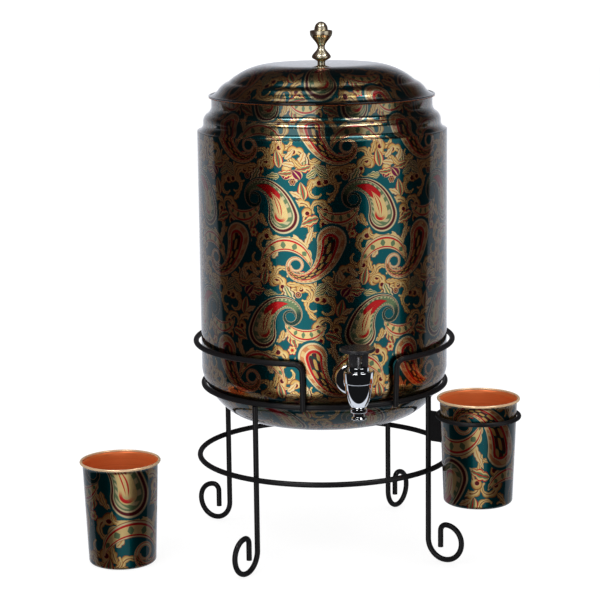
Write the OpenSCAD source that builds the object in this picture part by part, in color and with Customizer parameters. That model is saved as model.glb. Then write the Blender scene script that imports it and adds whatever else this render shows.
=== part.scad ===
// Water dispenser: a copper pot with a lid and a lever tap, in a wire stand that also holds a tumbler.
// Millimetres, +Z up, the tap faces -Y, and the floor is at z = 0.

/* [Pot] */
// Outside diameter of the straight wall
pot_d = 230; // [210:1:250]
// Height of the straight wall
wall_h = 220; // [150:1:280]
// Thickness of the pot's sheet
sheet_t = 1.2; // [0.8:0.1:2]
// Height of the rounded bottom
bowl_h = 45.5; // [38:0.5:52]
// How far the rounded bottom runs in from the wall
bowl_w = 39; // [30:0.5:46]
// Fullness of the bottom's curve, where 1 is a cone and 2 is an ellipse
bowl_power = 1.6; // [1.4:0.05:2]
// How far the shoulder steps in from the wall
shoulder_step = 5.7; // [4:0.1:6.5]
// Radius of the hollow curve at the foot of the shoulder
shoulder_cove = 7; // [6.6:0.1:9]
// Height of the upright edge between the wall and the shoulder
shoulder_edge = 1.1; // [0.6:0.1:2]
// Height of the upright band on the shoulder
shoulder_band = 1.5; // [0.5:0.1:4]
// How far the neck steps in from the shoulder
neck_step = 7.7; // [5:0.1:10]
// Height of the double curve from the shoulder to the neck
neck_rise = 14; // [11:0.5:20]
// Height of the straight neck
neck_h = 8; // [6:0.5:16]

/* [Lid] */
// Thickness of the lid's sheet
lid_t = 1; // [0.8:0.1:1.6]
// How far the lip reaches past the neck
lip_reach = 2.4; // [1.5:0.1:4]
// Width of the hollow curve above the lip
lip_cove_w = 8.7; // [7:0.1:12]
// Width of the rounded step above the hollow curve
step_w = 9.8; // [7:0.1:13]
// Radius of the flat top
top_flat_r = 45; // [30:1:55]
// Slope of the lip at its edge
lip_slope = 10; // [4:1:16]
// Steepest slope of the lid's edge
edge_slope = 55; // [48:1:62]
// Slope of the step where it meets the dome
step_slope = 20; // [12:1:28]
// Slope of the dome where it meets the step
dome_slope = 42; // [34:1:46]
// Depth of the centring ring below the neck's top
ring_depth = 6; // [4:0.5:12]
// Clearance between the centring ring and the neck
ring_clear = 0.6; // [0.4:0.1:1.5]

/* [Finial] */
// Height of the finial
finial_h = 38; // [28:1:50]
// Radius of its foot
finial_foot_r = 3.6; // [3.2:0.1:5]
// Radius of its lower bulb
finial_bulb_r = 8.8; // [6:0.1:11]
// Radius of its waist
finial_waist_r = 3.3; // [3.1:0.1:5]
// Radius of its cup
finial_cup_r = 10.3; // [8:0.1:13]
// Radius of the cap on the cup
finial_cap_r = 6.8; // [5:0.1:7.5]
// Radius of the screw that holds it
finial_screw_r = 2; // [1.5:0.1:2.4]

/* [Wire stand] */
// Diameter of the stand's wire
wire_d = 5; // [4:0.25:6.5]
// Height of the support ring's middle above the floor
support_z = 156.5; // [140:0.5:190]
// Where the support ring touches the rounded bottom, in degrees along its curve
seat_deg = 24; // [18:1:34]
// Height of the floor ring's middle above the floor
floor_ring_z = 87; // [60:1:100]
// Height of the top rail above the support ring
rail_rise = 40.5; // [36:0.5:60]
// Gap between the pot and the top rail
rail_gap = 2.5; // [1.5:0.1:5]
// Angle from the tap to each of the rail's posts
post_deg = 21; // [16:0.5:26]
// Bend radius where the rail turns down into a post
post_bend_r = 8; // [6:0.5:12]
// How far a post runs below the support ring's middle
post_tail = 2.5; // [1:0.5:5]
// Radius of the scroll foot's large bend
scroll_r = 17.5; // [14:0.5:20]
// Radius of the scroll's upper bend
scroll_top_r = 15.7; // [12:0.1:17]
// Radius of the scroll's curled-in bend
scroll_curl_r = 6.2; // [4.5:0.1:7]
// Length of the scroll's straight end
scroll_end = 15.5; // [8:0.5:17]
// Depth of the flat that each foot stands on
foot_flat = 0.4; // [0.2:0.05:0.6]

/* [Tumblers] */
// Height of a tumbler
tumbler_h = 96.5; // [80:0.5:110]
// Radius at the bottom
tumbler_base_r = 31.2; // [28:0.1:33]
// Radius at the top of the straight side
tumbler_top_r = 34.6; // [33.2:0.1:38]
// How far the rim flares out past the side
rim_flare = 2.6; // [1.5:0.1:4]
// Height of the flared rim
rim_h = 6; // [4:0.1:9]
// Radius of the bottom corner
base_corner = 3; // [2:0.1:6]
// Thickness of a tumbler's sheet
tumbler_t = 0.9; // [0.7:0.1:1.4]
// Place of the loose tumbler, sideways from the pot's axis
loose_x = -197; // [-230:1:-180]
// Place of the loose tumbler, front to back from the pot's axis
loose_y = -21; // [-60:1:20]

/* [Tumbler holder] */
// Drop from the support ring's middle to the holder ring's middle
holder_below = 13.5; // [4:0.5:30]
// Diameter of the holder ring's wire
holder_wire_d = 4; // [3:0.25:5]
// How far the ring grips below the tumbler's rim
holder_drop = 17; // [13:0.5:26]
// Width of the plate from the leg to the ring's middle
plate_w = 13; // [11:0.5:20]
// Height of the plate
plate_h = 28; // [18:0.5:36]
// Thickness of the plate
plate_t = 2.5; // [2:0.1:4]
// Clearance between the ring and the tumbler
holder_clear = 0.3; // [0.2:0.05:0.8]

/* [Tap] */
// Height of the shank above the top of the rounded bottom
tap_rise = 10.5; // [9:0.5:40]
// Distance from the pot's wall to the tap's upright axis
tap_reach = 33; // [28:0.5:40]
// Radius of the shank's thread
shank_r = 5.5; // [5:0.1:6.2]
// Radius of the waterway
waterway_r = 3.4; // [2.8:0.1:4]
// Radius of the flange at the wall
flange_r = 14; // [12:0.5:16]
// Thickness of the flange
flange_t = 4.5; // [3:0.1:6]
// Radius of the body at its top
body_r = 11.9; // [11.4:0.1:14]
// Length of the rounded lower body
body_h = 22.5; // [21:0.5:30]
// Radius of the spout
spout_r = 4.9; // [4.6:0.1:6]
// Length of the spout below the body's collar
spout_h = 6.4; // [5.4:0.1:10]
// Radius of the collar above the spout
collar_r = 7.3; // [6.4:0.1:8]
// Height of the collar above the spout
collar_h = 3.4; // [2:0.1:5]
// Radius of the spout's lip
lip_r = 6.5; // [6:0.1:8]
// Radius of the bonnet
bonnet_r = 12.8; // [12:0.1:15]
// Height of the bonnet's band
bonnet_h = 11; // [8:0.1:13]
// Radius of the bonnet's upper ring
bonnet_ring_r = 9.2; // [8.9:0.1:10.5]
// Height of the bonnet's upper ring
bonnet_ring_h = 3.8; // [2:0.1:5]
// Radius of the stem
stem_r = 2.1; // [1.9:0.05:2.4]
// Thickness of each gasket
gasket_t = 2; // [1.5:0.1:3]
// Thickness of the lock nut
nut_t = 5; // [4:0.5:8]
// Radius of the lock nut over its corners
nut_r = 9.8; // [8.8:0.1:11]

/* [Tap lever] */
// Width of the lever's neck
lever_w = 17.6; // [14:0.1:18]
// Depth of the lever's neck, front to back
lever_d = 11; // [10:0.1:12]
// Height of the cross pin above the neck's foot
pin_rise = 5.2; // [4.5:0.1:6]
// Height of the lever's neck
lever_h = 12.4; // [11.5:0.1:16]
// Radius of the thumb plate
thumb_r = 16; // [13:0.5:18]
// Thickness of the thumb plate
thumb_t = 3.2; // [2.4:0.1:5]
// How far the thumb plate sits back from the stem
thumb_back = 3; // [0:0.5:6]
// Radius of the cross pin
pin_r = 1; // [0.8:0.05:1.1]

/* [Fits] */
// Clearance where a lifted-off piece rests on another
seat_gap = 0.3; // [0.2:0.05:0.5]
// Clearance of turning and sliding fits
run_clear = 0.05; // [0.02:0.01:0.1]
// Clearance between fixed pieces
fix_clear = 0.05; // [0.02:0.01:0.1]
// Clearance round the shank in the pot's wall
hole_clear = 0.3; // [0.2:0.05:0.6]

/* [Hidden] */
$fn = 96;

// Finishes
print_color = "#1d3a3c";
brass_color = "#c2b280";
chrome_color = "#c8ccd2";
black_color = "#17171a";
rubber_color = "#2b2b2b";
steel_color = "#9a9da1";
copper_color = "#c9693f";

// Wire, rings and legs
wire_r = wire_d / 2;
pot_r = pot_d / 2;
front = -90;
leg_spread = 45;
big = 1000;

// Places along the rounded bottom, as a fraction of its width and height
bowl_ease = 2 / bowl_power;
function bowl_out(a) = pow(cos(a), bowl_ease);
function bowl_down(a) = pow(sin(a), bowl_ease);
function bowl_point(a) = [pot_r - bowl_w + bowl_w * bowl_out(a), bowl_h - bowl_h * bowl_down(a)];
function bowl_slope(a) = [
  pow(bowl_out(a), bowl_power - 1) / bowl_w,
  -pow(bowl_down(a), bowl_power - 1) / bowl_h
];
function unit(v) = v / norm(v);

// The support ring touches the bottom square to its curve
seat_point = bowl_point(seat_deg) + (wire_r + seat_gap) * unit(bowl_slope(seat_deg));
support_r = seat_point[0];
pot_z = support_z - seat_point[1];
leg_r = support_r;
leg_top_z = support_z - wire_r - fix_clear;
floor_ring_r = leg_r + wire_d + fix_clear;
foot_z = scroll_r + wire_r - foot_flat;
rail_r = pot_r + rail_gap + wire_r;
rail_z = support_z + rail_rise;
rail_end_deg = post_deg + atan(post_bend_r / rail_r);
post_foot_r = support_r + wire_d + fix_clear;
post_lean = atan((rail_r - sqrt(pow(post_foot_r, 2) - pow(post_bend_r, 2))) / rail_rise);
post_len = (rail_rise + post_tail) / cos(post_lean) - post_bend_r;

// Heights of the pot, counted from the floor
wall_z = pot_z + bowl_h;
collar_z = wall_z + wall_h;
shoulder_r = pot_r - shoulder_step;
neck_r = shoulder_r - neck_step;
cove_z = collar_z + shoulder_edge + shoulder_cove;
cove_end = 360 - acos((shoulder_step - shoulder_cove) / shoulder_cove);
band_z = cove_z + shoulder_band;
neck_turn = 2 * atan(neck_step / neck_rise);
neck_bend_r = neck_rise / (2 * sin(neck_turn));
neck_z = band_z + neck_rise;
neck_top = neck_z + neck_h;

// Lid: its curves are set by their widths and end slopes
lip_edge_r = neck_r + lip_reach;
step_r = lip_edge_r - lip_cove_w;
dome_r = step_r - step_w;
lip_cove_r = lip_cove_w / (sin(edge_slope) - sin(lip_slope));
step_bend_r = step_w / (sin(edge_slope) - sin(step_slope));
dome_bend_r = (dome_r - top_flat_r) / sin(dome_slope);
function lip_slope_at(r) = asin(sin(lip_slope) + (lip_edge_r - r) / lip_cove_r);
function lip_rise_at(r) = lip_cove_r * (cos(lip_slope) - cos(lip_slope_at(r)));
function lip_under_at(r) = lip_rise_at(r) - lid_t / cos(lip_slope_at(r));
lip_z = neck_top + seat_gap - lip_under_at(neck_r);
step_z = lip_z + lip_cove_r * (cos(lip_slope) - cos(edge_slope));
dome_z = step_z + step_bend_r * (cos(step_slope) - cos(edge_slope));
lid_top = dome_z + dome_bend_r * (1 - cos(dome_slope));
lid_ring_r = neck_r - sheet_t - ring_clear;
lid_ring_top = lip_z + lip_under_at(lid_ring_r) - seat_gap;

// Finial, with its screw and washer
washer_r = 6;
washer_t = 1;
screw_head_r = 3.8;
screw_head_t = 2.4;
screw_len = 12;
screw_play = 0.2;

// Tap heights, counted from the floor
tap_r = pot_r + tap_reach;
tap_z = wall_z + tap_rise;
shank_below_top = 3;
seat_above_collar = 3.5;
thread_past_nut = 2;
shank_land = 0.5;
bonnet_clear = 0.2;
body_top = tap_z + shank_below_top;
collar_top = body_top - body_h;
collar_low = collar_top - collar_h;
outlet_z = collar_low - spout_h;
bonnet_top = body_top + bonnet_h + bonnet_ring_h;
body_bulge = 1.28;
lip_h = 1.2;
lip_taper = 1.6;
chamfer = 0.8;
flange_back = pot_r + gasket_t;
shank_end = pot_r - sheet_t - gasket_t - nut_t - thread_past_nut;
hole_r = shank_r + hole_clear;
chamber_r = 8.4;
seat_z = collar_top + seat_above_collar;
chamber_z = seat_z + chamber_r - waterway_r;

// Tap stem, cup, spring and lever
cup_gap = 0.15;
cup_r = 6.4;
cup_low_r = 2.2;
cup_low = seat_z + cup_low_r - waterway_r + cup_gap * sqrt(2);
cup_rim = 1.6;
cup_floor = 2.4;
cup_side = cup_low + cup_r - cup_low_r;
cup_top = cup_side + cup_rim;
stem_low = cup_low + cup_floor;
spring_seat_r = 5;
spring_seat_t = 1.4;
spring_r = 4.6;
spring_bore_r = 3.2;
bonnet_bore_r = 6.5;
bonnet_spigot = 4;
roof_t = 1.5;
bonnet_roof = bonnet_top - bonnet_ring_h - roof_t;
cam_gap = 0.4;
lever_foot = bonnet_top + cam_gap;
pin_z = lever_foot + pin_rise;
slot_play = 0.4;
slot_w = 2 * (stem_r + slot_play);
stem_head = 2.8;
slot_head = 4.4;
slot_top = pin_z + slot_head;
stem_top = pin_z + stem_head;
lever_top = lever_foot + lever_h;

// Tumblers and their holder
rim_r = tumbler_top_r + rim_flare;
function tumbler_r_at(z) = tumbler_base_r + (tumbler_top_r - tumbler_base_r) * z / (tumbler_h - rim_h);
holder_z = support_z - holder_below;
holder_wire_r = holder_wire_d / 2;
holder_r = tumbler_r_at(tumbler_h - holder_drop) + holder_clear + holder_wire_r;
held_r = leg_r + wire_r + plate_w + holder_r;
held_z = holder_z + holder_drop - tumbler_h;
plate_top = holder_z - holder_wire_r - fix_clear;

// The pot's axis is placed so that the part's box is centred over the origin
foot_reach = (leg_r + 2 * scroll_r + wire_r) * cos(leg_spread);
reach_left = max(rim_r - loose_x, foot_reach);
reach_right = held_r * cos(leg_spread) + max(rim_r, holder_r + holder_wire_r);
reach_front = max(tap_r - thumb_back + thumb_r, reach_right);
reach_back = max(rail_r + wire_r, foot_reach);
axis_x = (reach_left - reach_right) / 2;
axis_y = (reach_front - reach_back) / 2;

// Points on an arc about a centre
function arc(c, r, from, to, n = 8) = [
  for (i = [0:n]) c + r * [cos(from + (to - from) * i / n), sin(from + (to - from) * i / n)]
];
// Points on a soft S from one radius and height to another
function ease(p, q, n = 8) = [
  for (i = [1:n]) [p[0] + (q[0] - p[0]) * (1 - cos(180 * i / n)) / 2, p[1] + (q[1] - p[1]) * i / n]
];
function reverse(list) = [for (i = [len(list) - 1:-1:0]) list[i]];
function rest_of(list) = [for (i = [1:len(list) - 1]) list[i]];
function left_of(v) = [-v[1], v[0]];
// The second face of a sheet: each point moves left by the thickness, and the ends move as told
function sheet_back(line, t, first, last) = [
  for (i = [0:len(line) - 1])
    line[i] + t * (i == 0 ? first : i == len(line) - 1 ? last : unit(left_of(line[i + 1] - line[i - 1])))
];
function sheet(line, t, first, last) = concat(line, reverse(sheet_back(line, t, first, last)));

// A turned piece about the upright axis
module turned(points) {
  rotate_extrude()
    polygon(points);
}

// A wire bend in the upright plane, with angles counted from outwards and up
module bend(r, from, sweep) {
  rotate([90, 0, 0])
    rotate([0, 0, from])
      rotate_extrude(angle = sweep)
        translate([r, 0])
          circle(d = wire_d, $fn = 32);
}

module wire_ring(r, d) {
  rotate_extrude()
    translate([r, 0])
      circle(d = d, $fn = 32);
}

// Moves a piece from the pot's own axis to its place over the origin
module on_axis() {
  translate([axis_x, axis_y, 0])
    children();
}

// Turns an outward piece to a direction counted from the tap
module at_angle(a) {
  on_axis()
    rotate([0, 0, front + a])
      children();
}

module top_rail() {
  color(black_color)
    on_axis()
      translate([0, 0, rail_z])
        rotate([0, 0, front + rail_end_deg])
          rotate_extrude(angle = 360 - 2 * rail_end_deg)
            translate([rail_r, 0])
              circle(d = wire_d, $fn = 32);
}

// The rail's end bends down and leans in to the support ring
module rail_post() {
  rotate([0, 0, rail_end_deg])
    translate([0, -rail_r, rail_z])
      rotate([post_lean, 0, 0]) {
        translate([0, 0, -post_bend_r])
          bend(post_bend_r, 90, 90);
        translate([-post_bend_r, 0, -post_bend_r - post_len])
          cylinder(d = wire_d, h = post_len, $fn = 32);
      }
}

module rail_post_left() {
  color(black_color)
    on_axis()
      mirror([1, 0, 0])
        rail_post();
}

module rail_post_right() {
  color(black_color)
    on_axis()
      rail_post();
}

module support_ring() {
  color(black_color)
    on_axis()
      translate([0, 0, support_z])
        wire_ring(support_r, wire_d);
}

module floor_ring() {
  color(black_color)
    on_axis()
      translate([0, 0, floor_ring_z])
        wire_ring(floor_ring_r, wire_d);
}

// A leg with its scroll foot, bent outwards from the leg's line
module scroll_leg() {
  difference() {
    translate([leg_r, 0, foot_z]) {
      cylinder(d = wire_d, h = leg_top_z - foot_z, $fn = 32);
      translate([scroll_r, 0, 0])
        bend(scroll_r, 180, 180);
      translate([2 * scroll_r - scroll_top_r, 0, 0])
        bend(scroll_top_r, 0, 90);
      translate([2 * scroll_r - scroll_top_r, 0, scroll_top_r - scroll_curl_r]) {
        bend(scroll_curl_r, 90, 90);
        translate([-scroll_curl_r, 0, -scroll_end])
          cylinder(d = wire_d, h = scroll_end, $fn = 32);
      }
    }
    translate([0, -big / 2, -big])
      cube([big, big, big]);
  }
}

module leg_front_left() {
  color(black_color)
    at_angle(-leg_spread)
      scroll_leg();
}

module leg_front_right() {
  color(black_color)
    at_angle(leg_spread)
      scroll_leg();
}

module leg_back_left() {
  color(black_color)
    at_angle(-180 + leg_spread)
      scroll_leg();
}

module leg_back_right() {
  color(black_color)
    at_angle(180 - leg_spread)
      scroll_leg();
}

// The plate is coped round the leg, and the ring lies on its top edge
module holder_plate() {
  color(black_color)
    at_angle(leg_spread)
      difference() {
        translate([leg_r, -plate_t / 2, plate_top - plate_h])
          cube([wire_r + plate_w, plate_t, plate_h]);
        translate([leg_r, 0, plate_top - plate_h - 1])
          cylinder(r = wire_r + fix_clear, h = plate_h + 2, $fn = 32);
      }
}

module holder_ring() {
  color(black_color)
    at_angle(leg_spread)
      translate([held_r, 0, holder_z])
        wire_ring(holder_r, holder_wire_d);
}

bowl_steps = 16;
bowl_line = concat([for (i = [0:bowl_steps]) bowl_point(90 * i / bowl_steps)], [[0, 0]]);

module pot_base() {
  color(print_color)
    on_axis()
      translate([0, 0, pot_z])
        turned(sheet(bowl_line, -sheet_t, [1, 0], [0, -1]));
}

// A piece that lies along the tap's shank, outwards from the pot's axis
module along_shank() {
  on_axis()
    translate([0, 0, tap_z])
      rotate([90, 0, 0])
        children();
}

module pot_wall() {
  color(print_color)
    difference() {
      on_axis()
        translate([0, 0, wall_z])
          difference() {
            cylinder(r = pot_r, h = wall_h);
            translate([0, 0, -1])
              cylinder(r = pot_r - sheet_t, h = wall_h + 2);
          }
      along_shank()
        cylinder(r = hole_r, h = pot_r + 1);
    }
}

collar_line = concat(
  [[pot_r, collar_z]],
  arc([shoulder_r + shoulder_cove, cove_z], shoulder_cove, cove_end, 180),
  arc([shoulder_r - neck_bend_r, band_z], neck_bend_r, 0, neck_turn),
  rest_of(arc([neck_r + neck_bend_r, neck_z], neck_bend_r, 180 + neck_turn, 180)),
  [[neck_r, neck_top]]
);

module pot_collar() {
  color(print_color)
    on_axis()
      turned(sheet(collar_line, sheet_t, [-1, 0], [-1, 0]));
}

// A lid curve of one bend: radius and height against its slope
function lid_bend(r, z, bend_r, from, to, n = 8) = [
  for (i = [0:n])
    let (s = from + (to - from) * i / n)
      [r - bend_r * abs(sin(s) - sin(from)), z + bend_r * abs(cos(s) - cos(from))]
];
lid_line = concat(
  lid_bend(lip_edge_r, lip_z, lip_cove_r, lip_slope, edge_slope),
  rest_of(lid_bend(step_r, step_z, step_bend_r, edge_slope, step_slope)),
  rest_of(lid_bend(dome_r, dome_z, dome_bend_r, dome_slope, 0)),
  [[0, lid_top]]
);

module lid_shell() {
  color(print_color)
    on_axis()
      difference() {
        turned(sheet(lid_line, lid_t, [0, -1], [0, -1]));
        translate([0, 0, lid_top - 2 * lid_t])
          cylinder(r = finial_screw_r + screw_play, h = 3 * lid_t);
      }
}

module lid_ring() {
  color(copper_color)
    on_axis()
      translate([0, 0, neck_top - ring_depth])
        difference() {
          cylinder(r = lid_ring_r, h = lid_ring_top - neck_top + ring_depth);
          translate([0, 0, -1])
            cylinder(r = lid_ring_r - lid_t, h = lid_ring_top - neck_top + ring_depth + 2);
        }
}

// The finial's bulb, waist, cup and cap, at shares of its height
finial_foot = [finial_foot_r, 0.04 * finial_h];
finial_bulb = [finial_bulb_r, 0.15 * finial_h];
finial_waist = [finial_waist_r, 0.39 * finial_h];
finial_cup = [finial_cup_r, 0.73 * finial_h];
finial_rim = [finial_cup_r, 0.78 * finial_h];
finial_cap = [finial_cap_r, 0.81 * finial_h];
finial_tip = [finial_cap_r / 4, finial_h];
finial_line = concat(
  [[finial_foot_r, 0], finial_foot],
  ease(finial_foot, finial_bulb),
  ease(finial_bulb, finial_waist),
  ease(finial_waist, finial_cup),
  [finial_rim],
  ease(finial_rim, finial_cap, 4),
  ease(finial_cap, finial_tip),
  [[0, finial_h]]
);

module finial() {
  color(brass_color)
    on_axis()
      translate([0, 0, lid_top])
        difference() {
          turned(concat([[0, 0]], finial_line));
          translate([0, 0, -1])
            cylinder(r = finial_screw_r + fix_clear, h = screw_len + 2);
        }
}

module finial_washer() {
  color(steel_color)
    on_axis()
      translate([0, 0, lid_top - lid_t - washer_t])
        difference() {
          cylinder(r = washer_r, h = washer_t);
          translate([0, 0, -1])
            cylinder(r = finial_screw_r + screw_play, h = washer_t + 2);
        }
}

module finial_screw() {
  color(steel_color)
    on_axis()
      translate([0, 0, lid_top - lid_t - washer_t - screw_head_t]) {
        cylinder(r = screw_head_r, h = screw_head_t);
        cylinder(r = finial_screw_r, h = screw_head_t + washer_t + lid_t + screw_len);
      }
}

// A piece that stands on the tap's upright axis
module on_tap() {
  on_axis()
    translate([0, -tap_r, 0])
      children();
}

body_steps = 12;
body_sweep = asin(body_h / (body_h * body_bulge));
body_line = concat(
  [[0, outlet_z], [lip_r, outlet_z], [lip_r, outlet_z + lip_h], [spout_r, outlet_z + lip_h + lip_taper]],
  [[spout_r, collar_low], [collar_r, collar_low], [collar_r, collar_top]],
  [for (i = [body_steps:-1:0])
    let (a = body_sweep * i / body_steps)
      [body_r * cos(a), body_top - body_h * body_bulge * sin(a)]],
  [[0, body_top]]
);
waterway_line = [
  [0, outlet_z - 1], [waterway_r, outlet_z - 1], [waterway_r, seat_z],
  [chamber_r, chamber_z], [chamber_r, body_top + 1], [0, body_top + 1]
];
flange_line = [
  [0, shank_end], [shank_r, shank_end], [shank_r, flange_back], [flange_r, flange_back],
  [flange_r, flange_back + flange_t / 3], [shank_r + shank_land, flange_back + flange_t],
  [shank_r + shank_land, tap_r], [0, tap_r]
];

module tap_body() {
  color(chrome_color)
    difference() {
      union() {
        on_tap()
          turned(body_line);
        along_shank()
          turned(flange_line);
      }
      on_tap()
        turned(waterway_line);
      on_tap()
        translate([0, 0, body_top])
          cylinder(r = bonnet_r + bonnet_clear, h = big);
      along_shank()
        translate([0, 0, shank_end - 1])
          cylinder(r = waterway_r, h = tap_r - shank_end + 1);
    }
}

bonnet_line = [
  [stem_r + run_clear, bonnet_roof], [stem_r + run_clear, bonnet_top],
  [bonnet_ring_r - chamfer, bonnet_top], [bonnet_ring_r, bonnet_top - chamfer],
  [bonnet_ring_r, bonnet_top - bonnet_ring_h], [bonnet_r - chamfer, bonnet_top - bonnet_ring_h],
  [bonnet_r, bonnet_top - bonnet_ring_h - chamfer], [bonnet_r, body_top + chamfer],
  [bonnet_r - chamfer, body_top], [chamber_r - fix_clear, body_top],
  [chamber_r - fix_clear, body_top - bonnet_spigot], [bonnet_bore_r, body_top - bonnet_spigot],
  [bonnet_bore_r, bonnet_roof]
];

module bonnet() {
  color(chrome_color)
    on_tap()
      turned(bonnet_line);
}

module stem() {
  color(steel_color)
    on_tap()
      difference() {
        union() {
          translate([0, 0, stem_low])
            cylinder(r = stem_r, h = stem_top - stem_low);
          translate([0, 0, cup_top])
            cylinder(r = spring_seat_r, h = spring_seat_t);
        }
        translate([-big / 2, 0, pin_z])
          rotate([0, 90, 0])
            cylinder(r = pin_r + run_clear, h = big);
      }
}

cup_line = [
  [0, cup_low], [cup_low_r, cup_low], [cup_r, cup_side], [cup_r, cup_top],
  [stem_r + fix_clear, cup_top], [stem_r + fix_clear, stem_low], [0, stem_low]
];

module seat_cup() {
  color(rubber_color)
    on_tap()
      turned(cup_line);
}

module stem_spring() {
  color(steel_color)
    on_tap()
      translate([0, 0, cup_top + spring_seat_t + fix_clear])
        difference() {
          cylinder(r = spring_r, h = bonnet_roof - cup_top - spring_seat_t - 2 * fix_clear);
          translate([0, 0, -1])
            cylinder(r = spring_bore_r, h = bonnet_roof - cup_top);
        }
}

// The lever: a forked neck that rocks on the bonnet, and a round thumb plate
module tap_handle() {
  color(black_color)
    on_tap()
      difference() {
        union() {
          intersection() {
            translate([0, 0, lever_foot])
              cylinder(d = lever_w, h = lever_h);
            translate([-lever_w, -lever_d / 2, lever_foot])
              cube([2 * lever_w, lever_d, lever_h + 1]);
          }
          translate([0, thumb_back, lever_top])
            turned([
              [0, 0], [thumb_r - 2 * chamfer, 0], [thumb_r, thumb_t / 2],
              [thumb_r - chamfer, thumb_t], [0, thumb_t]
            ]);
        }
        translate([-slot_w / 2, -lever_w, lever_foot - 1])
          cube([slot_w, 2 * lever_w, slot_top - lever_foot + 1]);
        translate([-big / 2, 0, pin_z])
          rotate([0, 90, 0])
            cylinder(r = pin_r + fix_clear / 2, h = big);
      }
}

module handle_pin() {
  color(steel_color)
    on_tap()
      translate([-lever_w / 2, 0, pin_z])
        rotate([0, 90, 0])
          cylinder(r = pin_r, h = lever_w);
}

// The gaskets follow the wall's curve on one side and are flat on the other
module outer_gasket() {
  color(rubber_color)
    difference() {
      along_shank()
        difference() {
          cylinder(r = flange_r - chamfer, h = flange_back);
          translate([0, 0, -1])
            cylinder(r = hole_r, h = flange_back + 2);
        }
      on_axis()
        cylinder(r = pot_r + fix_clear, h = big, $fn = 720);
    }
}

module inner_gasket() {
  color(rubber_color)
    intersection() {
      along_shank()
        translate([0, 0, pot_r - sheet_t - gasket_t])
          difference() {
            cylinder(r = nut_r, h = gasket_t + 1);
            translate([0, 0, -1])
              cylinder(r = hole_r, h = gasket_t + 3);
          }
      on_axis()
        cylinder(r = pot_r - sheet_t - fix_clear, h = big, $fn = 720);
    }
}

module lock_nut() {
  color(steel_color)
    along_shank()
      translate([0, 0, pot_r - sheet_t - gasket_t - nut_t - fix_clear])
        difference() {
          cylinder(r = nut_r, h = nut_t, $fn = 6);
          translate([0, 0, -1])
            cylinder(r = shank_r + fix_clear, h = nut_t + 2);
        }
}

// A tumbler's outside, from the middle of its bottom to its rim
function rim_point(a) = [
  tumbler_top_r + rim_flare * (1 - cos(a)),
  tumbler_h - rim_h + (rim_h - tumbler_t) * sin(a)
];
rim_steps = 6;
tumbler_line = concat(
  [[0, 0]],
  arc([tumbler_base_r - base_corner, base_corner], base_corner, -90, 0, 6),
  [for (i = [0:rim_steps]) rim_point(90 * i / rim_steps)]
);

module tumbler() {
  turned(sheet(tumbler_line, tumbler_t, [0, 1], [0, 1]));
}

module tumbler_held() {
  color(copper_color)
    at_angle(leg_spread)
      translate([held_r, 0, held_z])
        tumbler();
}

module tumbler_loose() {
  color(copper_color)
    on_axis()
      translate([loose_x, loose_y, 0])
        tumbler();
}

top_rail();
rail_post_left();
rail_post_right();
support_ring();
floor_ring();
leg_front_left();
leg_front_right();
leg_back_left();
leg_back_right();
holder_plate();
holder_ring();
pot_base();
pot_wall();
pot_collar();
lid_shell();
lid_ring();
finial();
finial_washer();
finial_screw();
tap_body();
bonnet();
tap_handle();
handle_pin();
stem();
seat_cup();
stem_spring();
outer_gasket();
inner_gasket();
lock_nut();
tumbler_held();
tumbler_loose();
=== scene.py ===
# %% [markdown]
# # A printed copper water pot in a wire stand
#
# The object is a copper pot printed with a paisley pattern under clear lacquer. It stands in a black wire
# stand with scroll feet, and it has a lid with a brass knob, a chrome lever tap and two tumblers.
# The sizes come from the CAD part, which is loaded first. Blender then adds smooth turned shells, the print
# and the finishes, and the studio that the object stands in.

import math

import bmesh
import bpy
from mathutils import Matrix, Vector


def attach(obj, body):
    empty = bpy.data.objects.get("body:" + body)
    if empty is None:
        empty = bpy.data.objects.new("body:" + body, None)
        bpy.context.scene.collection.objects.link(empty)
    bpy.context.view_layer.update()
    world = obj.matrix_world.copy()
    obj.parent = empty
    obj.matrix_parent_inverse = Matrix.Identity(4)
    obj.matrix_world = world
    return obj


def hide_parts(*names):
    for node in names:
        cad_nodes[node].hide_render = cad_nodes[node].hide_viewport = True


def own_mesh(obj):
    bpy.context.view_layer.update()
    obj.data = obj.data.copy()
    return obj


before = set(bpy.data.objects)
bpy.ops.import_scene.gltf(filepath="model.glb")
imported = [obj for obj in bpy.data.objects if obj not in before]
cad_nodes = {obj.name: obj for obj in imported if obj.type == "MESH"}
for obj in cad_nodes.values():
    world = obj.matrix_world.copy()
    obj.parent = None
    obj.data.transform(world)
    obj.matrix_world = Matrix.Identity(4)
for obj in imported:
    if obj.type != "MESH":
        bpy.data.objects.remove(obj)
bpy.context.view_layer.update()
print("CAD nodes:", len(cad_nodes))

# %% [markdown]
# ## Sizes and axes
#
# Everything is written in millimetres, as on a workshop drawing, and turned into metres where a mesh is made.
# The pot, its lid and the knob share one upright axis. The tap and the two tumblers have axes of their own.

# %% Sizes and axes
MM = 0.001
TO_MM = (1000, 1000, 1000)
scene = bpy.context.scene
POT_AXIS = Vector((39.395, 19.25, 0))
TAP_AXIS = Vector((39.395, -128.75, 0))
HELD_CUP = Vector((156.32, -97.67, 63.5))
LOOSE_CUP = Vector((-157.605, -1.75, 0))
POT_RADIUS = 115
SHEET = 1.2
print("pot axis at", tuple(POT_AXIS[:2]), "mm")

# %% [markdown]
# ## The camera
#
# The photograph was taken with a long lens, from a little above and a little to the left of the tap. A long
# lens keeps upright lines nearly parallel. The camera's place and its three small turns were fitted to the
# outline of the pot, the rings of the stand and the rims of the tumblers.

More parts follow.
